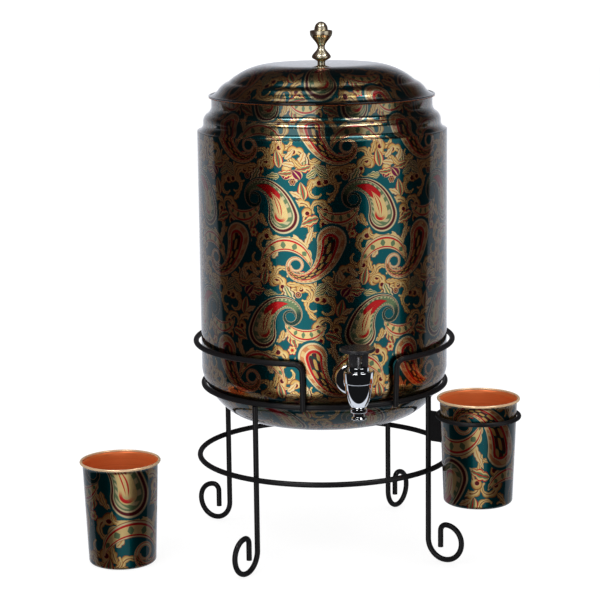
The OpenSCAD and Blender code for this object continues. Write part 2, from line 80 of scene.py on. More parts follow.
# %% Camera
TAP_TURN = math.radians(-11.52)
PITCH, ROLL, YAW = 0.1846, 0.0121, -0.0119
FOCAL_PIXELS, PHOTO_WIDTH, SENSOR = 2026.77, 600, 36
CAMERA_FROM_POT = Vector((-372.5, -1827.6, 581.3))

right = Vector((math.cos(YAW), -math.sin(YAW), 0))
ahead = Vector((math.sin(YAW), math.cos(YAW), 0))
up = Vector((0, 0, 1))
view = ahead * math.cos(PITCH) - up * math.sin(PITCH)
top = ahead * math.sin(PITCH) + up * math.cos(PITCH)
side_axis = right * math.cos(ROLL) - top * math.sin(ROLL)
top_axis = right * math.sin(ROLL) + top * math.cos(ROLL)
facing = Matrix((side_axis, top_axis, -view)).transposed()
facing = Matrix.Rotation(TAP_TURN, 3, "Z") @ facing

lens = bpy.data.cameras.new("photo_camera")
lens.sensor_width = SENSOR
lens.lens = FOCAL_PIXELS / PHOTO_WIDTH * SENSOR
lens.clip_end = 50
camera = bpy.data.objects.new("photo_camera", lens)
camera.matrix_world = Matrix.Translation((POT_AXIS + CAMERA_FROM_POT) * MM) @ facing.to_4x4()
scene.collection.objects.link(camera)
scene.camera = camera
scene.view_settings.view_transform = "Standard"
print("lens", round(lens.lens, 1), "mm")

# %% [markdown]
# ## A short hand for shader nodes
#
# The print and the finishes are sums of shader nodes, so this small helper adds a node, sets it and links it
# in one call. Each call returns the socket that the next call needs, so a formula reads like a formula.


# %% A helper that draws node trees
SOFT_EDGE = 0.05


class Sketch:
    """A node tree with short calls for the sums, bands and colours of a finish."""

    def __init__(self, tree):
        self.tree = tree

    def feed(self, socket, value):
        """Links a socket to another one, or sets it to a plain value."""
        if isinstance(value, bpy.types.NodeSocket):
            self.tree.links.new(value, socket)
        else:
            socket.default_value = value

    def node(self, kind, feeds=None, **settings):
        made = self.tree.nodes.new(kind)
        for name, value in settings.items():
            setattr(made, name, value)
        for key, value in (feeds or {}).items():
            self.feed(made.inputs[key], value)
        return made

    def __getattr__(self, operation):
        """Any other call is a sum: multiply(a, b) adds a math node that multiplies."""

        def add_sum(*values):
            made = self.node("ShaderNodeMath", dict(enumerate(values)), operation=operation.upper())
            return made.outputs[0]

        return add_sum

    def along(self, operation, *values):
        made = self.node("ShaderNodeVectorMath", dict(enumerate(values)), operation=operation)
        return made.outputs["Value" if operation == "DOT_PRODUCT" else "Vector"]

    def hypot(self, x, y):
        return self.sqrt(self.multiply_add(x, x, self.multiply(y, y)))

    def split(self, vector):
        return self.node("ShaderNodeSeparateXYZ", {0: vector}).outputs

    def join(self, x, y):
        return self.node("ShaderNodeCombineXYZ", {0: x, 1: y}).outputs[0]

    def band(self, value, low, high, at_low=0.0, at_high=1.0):
        feeds = {"Value": value, "From Min": low, "From Max": high, "To Min": at_low, "To Max": at_high}
        made = self.node("ShaderNodeMapRange", feeds, interpolation_type="SMOOTHSTEP", clamp=False)
        return made.outputs[0]

    def past(self, value, edge, soft=SOFT_EDGE):
        return self.band(value, edge - soft / 2, edge + soft / 2)

    def paint(self, under, colour, mask):
        made = self.node("ShaderNodeMix", data_type="RGBA")
        for key, value in (("Factor", mask), ("A", under), ("B", colour)):
            self.feed(next(s for s in made.inputs if s.enabled and s.name == key), value)
        return next(s for s in made.outputs if s.enabled)

    def rings(self, colour, depth, inks, soft=SOFT_EDGE):
        """Paints one ink after another, each from its own depth inwards."""
        for ink, edge in inks:
            colour = self.paint(colour, ink, self.past(depth, edge, soft))
        return colour

    def use(self, group, feeds):
        return self.node("ShaderNodeGroup", feeds, node_tree=group).outputs


def floats(*labels):
    """Number sockets with these names."""
    return {label: "Float" for label in labels}


def pick(sockets, labels):
    """The sockets with these names, ready to feed a group."""
    return {label: sockets[label] for label in labels}


def new_group(name, takes, gives):
    """An empty shader group with named sockets, and what is needed to draw inside it."""
    group = bpy.data.node_groups.new(name, "ShaderNodeTree")
    for label, kind in takes.items():
        group.interface.new_socket(name=label, in_out="INPUT", socket_type="NodeSocket" + kind)
    for label, kind in gives.items():
        group.interface.new_socket(name=label, in_out="OUTPUT", socket_type="NodeSocket" + kind)
    given = group.nodes.new("NodeGroupInput").outputs
    result = group.nodes.new("NodeGroupOutput").inputs
    return group, Sketch(group), given, result


print("node helper ready")

# %% [markdown]
# ## Where a printed motif lies
#
# The printed foil repeats every 90 mm across. Each row is the mirror image of the row below it, 104 mm up and
# shifted by 40 mm. So a motif is drawn once, and this group brings every point of the sheet to that motif: it
# finds the row, mirrors every second row, wraps the width, and turns the result to the motif's own direction.

# %% Repeat of the print
REPEAT, ROW, ROW_SHIFT = 90.3, 104.0, 40.0
SPOT = ("Across", "Upward", "X", "Y", "Turn", "Flip", "Middle")
HERE = floats("Local X", "Local Y")
motif_place, s, given, result = new_group("motif_place", floats(*SPOT), HERE)
above = s.subtract(given["Upward"], given["Y"])
row = s.floor(s.multiply_add(above, 1 / ROW, 0.5))
above = s.subtract(above, s.multiply(row, ROW))
odd = s.floored_modulo(row, 2.0)
mirrored = s.multiply(given["Across"], s.multiply_add(odd, -2.0, 1.0))
beside = s.subtract(s.multiply_add(odd, ROW_SHIFT, mirrored), given["X"])
beside = s.subtract(beside, given["Middle"])
beside = s.wrap(beside, REPEAT / 2, -REPEAT / 2)
beside = s.add(beside, given["Middle"])
cosine, sine = s.cosine(given["Turn"]), s.sine(given["Turn"])
local_x = s.multiply_add(above, sine, s.multiply(beside, cosine))
local_y = s.subtract(s.multiply(above, cosine), s.multiply(beside, sine))
s.feed(result["Local X"], local_x)
s.feed(result["Local Y"], s.multiply(local_y, given["Flip"]))
print("print repeats every", REPEAT, "by", ROW, "mm")

# %% [markdown]
# ## The curl of a paisley
#
# A paisley is a drop whose tail winds into a spiral. In polar coordinates a spiral is a line that falls as it
# goes round, so the drop is a band about that line: wide at its head and thin at its tail. The group gives
# the depth inside the band, from 0 at its edge to 1 on its middle line, and the way along it from the head.

# %% Spiral band
SPIRAL = ("Radius", "Pitch", "Ease", "Sweep", "Width", "Thin")
BAND = floats("Depth", "Along", "Side")
LEAD = math.radians(60)
spiral_band, s, given, result = new_group(
    "spiral_band", {**HERE, **floats(*SPIRAL, "Lens", "Winding")}, BAND
)
x, y = given["Local X"], given["Local Y"]
angle = s.wrap(s.arctan2(y, x), 2 * math.pi - LEAD, -LEAD)
angle = s.multiply_add(given["Winding"], 2 * math.pi, angle)
reach = s.logarithm(s.divide(s.hypot(x, y), given["Radius"]), math.e)
past_head = s.maximum(angle, 0.0)
fading = s.exponent(s.divide(s.multiply(past_head, -1.0), given["Ease"]))
fall = s.multiply(s.multiply(given["Pitch"], given["Ease"]), s.subtract(1.0, fading))
fall = s.multiply_add(given["Pitch"], s.minimum(angle, 0.0), fall)
slope = s.multiply(given["Pitch"], fading)
square = s.inverse_sqrt(s.multiply_add(slope, slope, 1.0))
off_line = s.multiply(s.add(reach, fall), square)
head_square = s.inverse_sqrt(s.multiply_add(given["Pitch"], given["Pitch"], 1.0))
behind = s.subtract(s.multiply(reach, given["Pitch"]), angle)
behind = s.maximum(s.multiply(behind, head_square), 0.0)
behind = s.multiply(behind, s.less_than(angle, math.pi / 2))
beyond = s.maximum(s.subtract(angle, given["Sweep"]), 0.0)
ends = s.add(behind, beyond)
share = s.divide(angle, given["Sweep"])
inside = s.minimum(s.maximum(share, 0.02), 0.98)
width = s.multiply_add(inside, s.subtract(given["Thin"], given["Width"]), given["Width"])
swell = s.power(s.sine(s.multiply(inside, math.pi)), 0.7)
swell = s.multiply_add(s.subtract(swell, 1.0), given["Lens"], 1.0)
width = s.multiply(width, swell)
away = s.hypot(off_line, ends)
s.feed(result["Depth"], s.subtract(1.0, s.divide(away, width)))
s.feed(result["Along"], share)
s.feed(result["Side"], s.divide(off_line, width))
print("spiral band has", len(spiral_band.nodes), "nodes")

# %% [markdown]
# A tail that winds more than once needs the same band a second time, one turn further in. This group makes
# both windings and keeps whichever is deeper.

# %% Two windings
wound_band, s, given, result = new_group("wound_band", {**HERE, **floats(*SPIRAL)}, BAND)
shared = pick(given, (*HERE, *SPIRAL))
outer = s.use(spiral_band, {**shared, "Winding": 0.0})
inner = s.use(spiral_band, {**shared, "Winding": 1.0})
deeper = s.greater_than(inner["Depth"], outer["Depth"])
for name in BAND:
    gap = s.subtract(inner[name], outer[name])
    s.feed(result[name], s.multiply_add(gap, deeper, outer[name]))
print("wound band ready")

# %% [markdown]
# ## The inks
#
# The foil is printed with clear inks on bright metal: a teal ground, gold and pale gold ornament, red and
# maroon hearts, and grey green. They are kept here by name, as linear colours, so every motif uses the same.

# %% Inks
TEAL = (0.0, 0.115, 0.135, 1)
GOLD = (0.72, 0.43, 0.12, 1)
PALE = (0.88, 0.66, 0.28, 1)
BROWN = (0.34, 0.11, 0.035, 1)
AMBER = (0.66, 0.26, 0.10, 1)
RED = (0.62, 0.012, 0.014, 1)
MAROON = (0.12, 0.006, 0.012, 1)
PLUM = (0.22, 0.008, 0.07, 1)
GREEN = (0.16, 0.25, 0.12, 1)
DEEP = (0.012, 0.055, 0.045, 1)
CREAM = (0.82, 0.68, 0.39, 1)
PLACE = ("X", "Y", "Turn", "Flip", "Middle")


def motif_group(name, sizes, colours=()):
    """A group for one motif, which paints itself over the colour that it is given."""
    takes = {"Under": "Color", **floats("Across", "Upward", *sizes)}
    takes.update({label: "Color" for label in colours})
    group, s, given, result = new_group(name, takes, {"Color": "Color"})
    spot = pick(given, [label for label in SPOT if label in takes])
    place = s.use(motif_place, {"Flip": 1.0, **spot})
    return group, s, given, result, pick(place, HERE)


print("inks ready")

# %% [markdown]
# ## The green paisley
#
# It is the largest motif: a green drop with a cream and maroon outline and a hatched border. At its heart a
# red wedge points to the tail, a pale flame lies before it, and a red cup closes the head. The tail is dark.
# Each ring of colour starts at its own depth inside the band.

# %% Green paisley: outline and border
HATCHES, HATCH_SLANT = 46.0, 1.5
green_paisley, s, given, result, local = motif_group("green_paisley", PLACE + SPIRAL)
band = s.use(wound_band, {**local, **pick(given, SPIRAL)})
depth, along, side = band["Depth"], band["Along"], s.absolute(band["Side"])
colour = given["Under"]
for ink, edge in ((TEAL, -0.14), (CREAM, 0.0), (MAROON, 0.07), (CREAM, 0.20), (DEEP, 0.27)):
    ring = s.past(depth, edge)
    colour = s.paint(colour, ink, ring)
drop = s.band(along, 0.35, 0.25)
colour = s.paint(colour, GREEN, s.multiply(ring, drop))
hatch = s.multiply_add(along, HATCHES, s.multiply(depth, HATCH_SLANT))
hatch = s.past(s.sine(s.multiply(hatch, 2 * math.pi)), 0.1, 0.8)
border = s.subtract(s.past(depth, 0.34), s.past(depth, 0.52))
border = s.multiply(s.multiply(border, hatch), s.multiply(drop, 0.75))
colour = s.paint(colour, CREAM, border)
print("green paisley outlined")

# %% Green paisley: heart
core = s.past(depth, 0.52)
colour = s.paint(colour, PALE, s.multiply(core, s.band(along, 0.15, 0.13)))
narrowing = s.maximum(s.multiply(s.subtract(0.20, along), 8.0), 0.001)
wedge = s.subtract(1.0, s.divide(side, narrowing))
blunt = s.past(s.multiply_add(side, -0.06, along), 0.036, 0.012)
blunt = s.multiply(blunt, s.less_than(along, 0.20))
for ink, rim, edge in ((MAROON, 0.46, 0.0), (RED, 0.50, 0.16)):
    inside = s.multiply(s.past(depth, rim), s.past(wedge, edge, 0.1))
    colour = s.paint(colour, ink, s.multiply(inside, blunt))
share = s.band(along, -0.035, 0.10)
swell = s.multiply(s.sine(s.multiply(share, math.pi)), 0.32)
flame = s.subtract(1.0, s.divide(side, s.maximum(swell, 0.001)))
colour = s.paint(colour, PALE, s.multiply(s.past(flame, 0.0, 0.1), core))
lines = s.subtract(s.past(flame, 0.45, 0.1), s.past(flame, 0.72, 0.1))
colour = s.paint(colour, RED, s.multiply(lines, s.past(along, 0.0, 0.02)))
cup = s.subtract(s.past(depth, 0.58), s.past(depth, 0.76))
colour = s.paint(colour, RED, s.multiply(cup, s.band(along, 0.005, -0.015)))
colour = s.paint(colour, GREEN, s.multiply(s.past(depth, 0.78), s.band(along, 0.0, -0.02)))
s.feed(result["Color"], colour)
print("green paisley ready")

# %% [markdown]
# ## The amber paisley
#
# The second drop is long and warm: a cream outline, an amber border with pale dashes, a red line, and a dark
# heart set with gold and maroon beads. Its pale tail winds up under the red-edged leaf.

# %% Amber paisley
DASHES, BEADS_ALONG, BEADS_ACROSS = 46, 19, 1.9
amber_paisley, s, given, result, local = motif_group("amber_paisley", PLACE + SPIRAL)
band = s.use(wound_band, {**local, **pick(given, SPIRAL)})
depth, along, side = band["Depth"], band["Along"], band["Side"]
colour = s.rings(given["Under"], depth, ((TEAL, -0.14), (CREAM, 0.0), (AMBER, 0.10)))
dashes = s.past(s.sine(s.multiply(along, 2 * math.pi * DASHES)), 0.1, 0.6)
colour = s.paint(colour, PALE, s.multiply(s.past(depth, 0.14), s.multiply(dashes, 0.8)))
colour = s.rings(colour, depth, ((CREAM, 0.34), (RED, 0.42), (CREAM, 0.60)))
heart = s.multiply(s.past(depth, 0.61), s.band(along, 0.375, 0.345))
colour = s.paint(colour, DEEP, heart)
lengthways = s.sine(s.multiply(along, 2 * math.pi * BEADS_ALONG))
sideways = s.cosine(s.multiply(side, 2 * math.pi * BEADS_ACROSS))
beads = s.multiply(lengthways, sideways)
colour = s.paint(colour, GOLD, s.multiply(heart, s.past(beads, 0.15, 0.2)))
colour = s.paint(colour, MAROON, s.multiply(heart, s.band(beads, -0.25, -0.45)))
s.feed(result["Color"], colour)
print("amber paisley ready")

# %% [markdown]
# ## The gold curls
#
# Curled gold leaves fill the ground between the drops. A curl is a short spiral band with a scalloped edge,
# thick at its head and thin at its end. It has a brown edge and vein, a pale shine and, mostly, a maroon eye.

# %% Gold curl
# An ease so long that the pitch hardly changes on the way
STEADY = 7.0
CURL = ("Radius", "Pitch", "Sweep", "Width", "Thin")
gold_curl, s, given, result, local = motif_group("gold_curl", PLACE + CURL + ("Lobes", "Notch", "Eye"))
band = s.use(spiral_band, {**pick(given, CURL), **local, "Ease": STEADY, "Lens": 0.0, "Winding": 0.0})
along = band["Along"]
on_curl = s.minimum(s.maximum(along, 0.0), 1.0)
scallop = s.multiply_add(s.multiply(on_curl, given["Lobes"]), math.pi, 1.2)
scallop = s.subtract(s.absolute(s.sine(scallop)), 1.0)
scallop = s.multiply_add(scallop, given["Notch"], 1.0)
depth = s.subtract(1.0, s.divide(s.subtract(1.0, band["Depth"]), scallop))
colour = s.rings(given["Under"], depth, ((BROWN, 0.0), (GOLD, 0.13)), 0.06)
colour = s.paint(colour, PALE, s.past(depth, 0.42, 0.45))
vein = s.subtract(s.past(along, 0.16), s.past(along, 0.85))
colour = s.paint(colour, BROWN, s.multiply(s.past(depth, 0.84), vein))
to_head = s.hypot(local["Local Y"], s.subtract(local["Local X"], given["Radius"]))
eye = s.multiply(s.multiply(given["Radius"], given["Width"]), 0.46)
eye = s.subtract(1.0, s.divide(to_head, eye))
colour = s.paint(colour, RED, s.multiply(s.past(eye, 0.0, 0.1), given["Eye"]))
colour = s.paint(colour, MAROON, s.multiply(s.past(eye, 0.12, 0.1), given["Eye"]))
s.feed(result["Color"], colour)
print("gold curl ready")

# %% [markdown]
# ## Leaves, scrolls, flowers and dots
#
# The small motifs are simple sums too. A leaf is a bent lens with a notched edge, and its four colours are
# inputs, so one group prints gold, green and plum leaves. A scroll is a long curved leaf with a red rim,
# green beads and a fringe on its outer side: a spiral band that is widest half way. A flower without petals
# is a dot.

# %% Leaf
LEAF = ("Length", "Width", "Bend", "Lobes", "Notch")
LEAF_COLOURS = ("Edge", "Fill", "Heart", "Vein")
small_leaf, s, given, result, local = motif_group("small_leaf", PLACE + LEAF, LEAF_COLOURS)
x, y = local["Local X"], local["Local Y"]
share = s.divide(x, given["Length"])
clamped = s.minimum(s.maximum(share, 0.0), 1.0)
bowed = s.multiply(s.multiply(share, x), given["Bend"])
off_line = s.absolute(s.subtract(y, bowed))
swell = s.sine(s.multiply(s.power(clamped, 0.8), math.pi))
swell = s.power(s.maximum(swell, 0.0), 0.8)
notches = s.absolute(s.sine(s.multiply(s.multiply(share, given["Lobes"]), math.pi)))
notches = s.multiply_add(s.subtract(notches, 1.0), given["Notch"], 1.0)
width = s.multiply(s.multiply(swell, notches), given["Width"])
depth = s.subtract(1.0, s.divide(off_line, s.maximum(width, 0.001)))
inks = [given[label] for label in LEAF_COLOURS]
colour = s.rings(given["Under"], depth, zip(inks, (0.0, 0.22, 0.58, 0.88)))
s.feed(result["Color"], colour)
print("leaf ready")

# %% Scroll
SCROLL = ("Radius", "Pitch", "Sweep", "Width")
scroll_leaf, s, given, result, local = motif_group("scroll_leaf", PLACE + SCROLL + ("Beads",))
even = {"Thin": given["Width"], "Ease": STEADY, "Lens": 1.0, "Winding": 0.0}
band = s.use(spiral_band, {**pick(given, SCROLL), **local, **even})
depth, along = band["Depth"], band["Along"]
fringe = s.absolute(s.sine(s.multiply(along, 9 * math.pi)))
fringe = s.multiply(s.past(s.multiply_add(fringe, 0.3, depth), 0.0), s.past(band["Side"], 0.0, 0.1))
between = s.multiply(s.greater_than(along, 0.0), s.less_than(along, 1.0))
colour = s.paint(given["Under"], PALE, s.multiply(fringe, between))
colour = s.rings(colour, depth, ((BROWN, 0.0), (CREAM, 0.08), (RED, 0.26), (PALE, 0.48)))
beads = s.sine(s.multiply(s.multiply(along, given["Beads"]), 2 * math.pi))
colour = s.paint(colour, GREEN, s.past(s.multiply_add(depth, 1.9, beads), 1.95, 0.3))
s.feed(result["Color"], colour)
print("scroll ready")

# %% Flower and dot
flower, s, given, result, local = motif_group(
    "flower", ("X", "Y", "Middle", "Petals", "Size"), ("Edge", "Petal", "Heart")
)
x, y = local["Local X"], local["Local Y"]
petals = s.multiply(s.arctan2(y, x), s.multiply(given["Petals"], 0.5))
edge = s.multiply_add(s.absolute(s.cosine(petals)), 0.3, 0.7)
edge = s.multiply(edge, given["Size"])
depth = s.subtract(1.0, s.divide(s.hypot(x, y), edge))
inks = ((given["Edge"], 0.0), (given["Petal"], 0.16), (GOLD, 0.50), (given["Heart"], 0.68))
colour = s.rings(given["Under"], depth, inks, 0.08)
s.feed(result["Color"], colour)
print("flower ready")

# %% [markdown]
# ## The layout of the print
#
# The rows below place the motifs in one repeat, in millimetres and degrees, and the labels name their
# columns. A pitch is a fall per degree. The layers are drawn in order, small fillers first and the two large
# drops last, so a drop always lies on top with a thin teal margin round it.

# %% Layout of one repeat
CURL_LABELS = ("X", "Y", "Turn", "Flip", "Radius", "Sweep", "Width", "Lobes", "Eye")
CURLS = (
    (61, 62, 70, 1, 7.5, 250, 0.66, 5, 1),
    (49, 45, 150, -1, 7.0, 230, 0.66, 5, 1),
    (62, 46, -10, 1, 7.0, 230, 0.64, 4, 1),
    (54, 36, 100, 1, 6.5, 230, 0.64, 4, 1),
    (60, 30, 20, -1, 7.5, 250, 0.66, 5, 1),
    (61, 19, -60, 1, 7.0, 240, 0.64, 4, 0),
    (73, 64, 120, -1, 7.0, 240, 0.64, 5, 1),
    (14, 78, 60, 1, 7.5, 250, 0.66, 5, 1),
    (10, 92, -40, 1, 7.0, 240, 0.64, 5, 1),
    (66, 84, 200, -1, 7.0, 240, 0.64, 5, 1),
    (76, 76, 30, 1, 6.5, 230, 0.64, 4, 0),
    (88, 84.1, -30, -1, 6.5, 230, 0.64, 4, 1),
    (14, 14, 80, 1, 7.5, 250, 0.66, 5, 1),
    (6, 2, 10, -1, 7.0, 240, 0.64, 5, 1),
    (18, -8, 150, 1, 7.0, 240, 0.64, 5, 1),
    (24, -20, -30, 1, 6.5, 240, 0.64, 5, 1),
    (8, -16, -110, -1, 6.5, 230, 0.64, 4, 0),
    (50, -31, 120, -1, 6.5, 240, 0.64, 5, 1),
    (86, -14, 60, 1, 7.0, 240, 0.64, 5, 1),
    (22, 26, 10, -1, 6.5, 240, 0.64, 4, 0),
    (72, -12, 170, 1, 6.0, 230, 0.64, 4, 1),
)
GOLD_LEAF = (BROWN, GOLD, PALE, BROWN)
CREAM_LEAF = (BROWN, CREAM, PALE, AMBER)
GREEN_LEAF = (CREAM, GREEN, PALE, DEEP)
RED_LEAF = (RED, PALE, GREEN, RED)
MAROON_LEAF = (MAROON, CREAM, GREEN, PALE)
PLUM_POD = (PALE, PLUM, PLUM, PALE)
LEAF_LABELS = ("X", "Y", "Turn", *LEAF, *LEAF_COLOURS)
LEAVES = (
    (50, 9, 112, 18, 3.6, 0.22, 3, 0.35, *CREAM_LEAF),
    (51, 10, 80, 22, 3.2, -0.15, 4, 0.35, *CREAM_LEAF),
    (52, 8, 140, 14, 3.0, 0.25, 3, 0.35, *GOLD_LEAF),
    (38, 14.1, 150, 12, 3.0, 0.3, 3, 0.35, *GOLD_LEAF),
    (50, 54, 95, 16, 4.6, 0.1, 1, 0.0, *RED_LEAF),
    (47, 56, 140, 12, 3.4, 0.3, 3, 0.35, *CREAM_LEAF),
    (46, 52, 185, 12, 3.4, -0.3, 3, 0.35, *CREAM_LEAF),
    (53, 62.1, 50, 10, 3.0, 0.3, 2, 0.35, *GOLD_LEAF),
    (63, 38, -170, 17, 5.2, 0.2, 3, 0.35, *RED_LEAF),
    (28, 82, 95, 16, 4.6, 0.1, 1, 0.0, *RED_LEAF),
    (33, 90, 30, 12, 3.4, 0.3, 3, 0.35, *CREAM_LEAF),
    (36, 80, -60, 13, 3.4, 0.2, 2, 0.3, *CREAM_LEAF),
    (50, 82.1, 80, 14, 4.6, 0.2, 1, 0.0, *MAROON_LEAF),
    (42, 83.9, 160, 12, 3.4, 0.2, 2, 0.3, *CREAM_LEAF),
    (47, 72, 120, 11, 4.6, 0.2, 1, 0.0, *PLUM_POD),
    (32, 72.1, 60, 11, 4.6, -0.2, 1, 0.0, *PLUM_POD),
    (52, 74, 20, 14, 3.8, 0.3, 3, 0.35, *GREEN_LEAF),
    (28, 74.1, 170, 14, 3.8, 0.3, 3, 0.35, *GREEN_LEAF),
    (32, -22, -70, 17, 5.6, 0.2, 3, 0.4, *MAROON_LEAF),
    (34, -19.9, -20, 12, 3.4, 0.3, 3, 0.35, *GOLD_LEAF),
    (58, -30, 15, 16, 4.0, 0.3, 3, 0.4, *GREEN_LEAF),
    (60, -26, 50, 13, 3.6, -0.3, 3, 0.4, *MAROON_LEAF),
    (74, -20.1, -30, 14, 4.2, 0.3, 3, 0.4, *RED_LEAF),
    (80, -7.9, -80, 14, 4.2, 0.3, 3, 0.4, *CREAM_LEAF),
    (82, -21.9, 30, 12, 3.4, 0.3, 3, 0.35, *GOLD_LEAF),
    (4, 30.1, 100, 14, 4.4, 0.2, 3, 0.35, *RED_LEAF),
    (26, 20, 40, 13, 3.6, 0.3, 3, 0.35, *GOLD_LEAF),
    (76, 88, 20, 14, 4.4, 0.2, 3, 0.4, *RED_LEAF),
    (20, 94, 60, 13, 3.6, 0.3, 3, 0.35, *GOLD_LEAF),
    (0, 16, 160, 13, 4.0, 0.3, 3, 0.4, *CREAM_LEAF),
    (0, -25.9, -20, 13, 4.0, 0.3, 3, 0.4, *RED_LEAF),
    (6, 40, -50, 15, 3.2, 0.2, 3, 0.35, *CREAM_LEAF),
    (10, 42, -80, 13, 3.0, 0.2, 3, 0.35, *GOLD_LEAF),
    (84, 34, -120, 12, 3.0, 0.2, 3, 0.35, *GOLD_LEAF),
    (88, 26.1, 60, 13, 4.2, 0.2, 3, 0.35, *RED_LEAF),
    (38, 34.1, -30, 12, 3.2, 0.3, 3, 0.35, *CREAM_LEAF),
    (70, 52.1, 30, 12, 3.2, 0.3, 3, 0.35, *GOLD_LEAF),
    (20, 2.1, 40, 12, 3.2, 0.3, 3, 0.35, *CREAM_LEAF),
)
SCROLL_LABELS = ("X", "Y", "Turn", "Radius", "Sweep")
SCROLLS = ((33, -9, 10, 23, 158), (80, 59, -148, 21, 118))
FLOWER_LABELS = ("X", "Y", "Petals", "Size", "Edge", "Petal", "Heart")
FLOWERS = (
    (40, 70, 6, 3.6, PALE, PLUM, MAROON),
    (44, -29.9, 0, 3.0, PALE, PLUM, MAROON),
    (2, 24, 6, 4.6, RED, PALE, RED),
    (70, 0, 0, 1.8, BROWN, PALE, MAROON),
    (84, 80.1, 0, 1.8, BROWN, PALE, MAROON),
    (38, 50, 0, 1.6, BROWN, PALE, MAROON),
    (66, 71.9, 0, 1.8, BROWN, PALE, MAROON),
)
DROP_LABELS = (*PLACE, *SPIRAL)
GREEN_DROP = (3.5, 54.1, -29, 1, 20, 28.5, 0.0112, 165, 560, 0.49, 0.12)
AMBER_DROP = (42.5, -3.5, 34, -1, 20, 36, 0.0155, 130, 560, 0.36, 0.2)
print("motifs in one repeat:", len(CURLS) + len(LEAVES) + len(SCROLLS) + len(FLOWERS) + 2)

# %% The whole print
ANGLES = ("Turn", "Ease", "Sweep")
CURL_SAME = {"Pitch": 0.0022, "Thin": 0.22, "Notch": 0.3, "Middle": 0.0}
SCROLL_SAME = {"Flip": 1, "Pitch": 0.0, "Width": 0.27, "Beads": 6, "Middle": 0.0}
LAYERS = (
    (gold_curl, CURL_LABELS, CURL_SAME, CURLS),
    (small_leaf, LEAF_LABELS, {"Flip": 1.0, "Middle": 0.0}, LEAVES),
    (scroll_leaf, SCROLL_LABELS, SCROLL_SAME, SCROLLS),
    (flower, FLOWER_LABELS, {"Middle": 0.0}, FLOWERS),
    (amber_paisley, DROP_LABELS, {}, (AMBER_DROP,)),
    (green_paisley, DROP_LABELS, {}, (GREEN_DROP,)),
)
paisley_print, s, given, result = new_group("paisley_print", {"Pattern": "Vector"}, {"Color": "Color"})
across, upward, _ = s.split(given["Pattern"])
colour = TEAL
for group, labels, same, rows in LAYERS:
    for row in rows:
        feeds = {**same, **dict(zip(labels, row))}
        for label in ANGLES:
            if label in feeds:
                feeds[label] = math.radians(feeds[label])
        if "Pitch" in feeds:
            feeds["Pitch"] /= math.radians(1)
        colour = s.use(group, {"Under": colour, "Across": across, "Upward": upward, **feeds})["Color"]
s.feed(result["Color"], colour)
print("print groups:", len(paisley_print.nodes))

# %% [markdown]
# ## Laying the foil on a turned shape
#
# The foil is wrapped round the pot and the tumblers, so its width is the angle round the axis and its height
# is the height on the wall. Where the shape turns in, over the bottom and the neck, the foil keeps its length
# and the height goes on with the way inwards. The angle starts at the tap, so the seam is at the back. One
# group does this for every turned piece.

# %% Wrapping the foil
INWARD_PACE = 0.7
LAID = floats("Per Turn", "Start", "Rise", "Wall", "Half")
round_wall, s, given, result = new_group(
    "round_wall", {"Object": "Vector", "Centre": "Vector", **LAID}, {"Pattern": "Vector"}
)
from_axis = s.along("SUBTRACT", given["Object"], given["Centre"])
x, y, z = s.split(s.along("MULTIPLY", from_axis, TO_MM))
angle = s.arctan2(x, s.multiply(y, -1.0))
out = s.hypot(x, y)
inwards = s.multiply(s.subtract(given["Wall"], out), INWARD_PACE)
upper = s.multiply_add(s.greater_than(z, given["Half"]), 2.0, -1.0)
height = s.add(s.multiply_add(inwards, upper, z), given["Rise"])
width = s.multiply_add(angle, s.divide(given["Per Turn"], 2 * math.pi), given["Start"])
s.feed(result["Pattern"], s.join(width, height))
print("foil wrap ready")

# %% [markdown]
# ## Soft waves in sheet metal and paint
#
# Rolled sheet, castings and paint are never quite flat, and a mirror finish shows it. This group gives a low
# wave at a chosen size, for the bump of every glossy finish here, and a fine speckle for their roughness.

# %% Soft waves
soft_waves, s, given, result = new_group(
    "soft_waves", {"Object": "Vector", **floats("Size", "Speckle")}, floats("Height", "Mottle")
)
broad = s.node("ShaderNodeTexNoise", {"Vector": given["Object"], "Scale": given["Size"], "Detail": 1.0})
fine = s.node("ShaderNodeTexNoise", {"Vector": given["Object"], "Scale": given["Speckle"], "Detail": 4.0})
s.feed(result["Height"], broad.outputs[0])
s.feed(result["Mottle"], fine.outputs[0])
print("soft waves ready")

# %% [markdown]
# ## Materials
#
# Each finish starts the same way: one Principled shader, the Object coordinates, and soft waves for its bump
# and its roughness. What differs is the colour, the metal and the gloss, which are set on the shader itself.


# %% A finish with waves in it
def new_finish(name, size, speckle, rough, bump, distance):
    """A material with one shader, waves in its bump, and one roughness or a mottled one between two."""
    material = bpy.data.materials.new(name)
    material.use_nodes = True
    material.node_tree.nodes.clear()
    s = Sketch(material.node_tree)
    where = s.node("ShaderNodeTexCoord").outputs["Object"]
    waves = s.use(soft_waves, {"Object": where, "Size": size, "Speckle": speckle})
    hollow = s.node("ShaderNodeBump", {"Height": waves["Height"], "Strength": bump, "Distance": distance})
    shader = s.node("ShaderNodeBsdfPrincipled", {"Normal": hollow.outputs[0]})
    if isinstance(rough, tuple):
        rough = s.band(waves["Mottle"], 0.3, 0.7, *rough)
    s.feed(shader.inputs["Roughness"], rough)
    surface = s.node("ShaderNodeOutputMaterial", {"Surface": shader.outputs[0]})
    surface.is_active_output = True
    return material, s, shader.inputs, where, waves


def shade(s, sockets, **values):
    """Sets plain values on the shader's own sockets, and links the ones that change over the surface."""
    for label, value in values.items():
        s.feed(sockets[label.replace("_", " ")], value)


def plain_finish(name, size, speckle, rough, bump, light, dark, distance=0.001, **gloss):
    """A finish whose colour wanders between two tones with the speckle."""
    material, s, sockets, _, waves = new_finish(name, size, speckle, rough, bump, distance)
    shade(s, sockets, Base_Color=s.paint((*light, 1), (*dark, 1), waves["Mottle"]), **gloss)
    return material


print("finish helper ready")

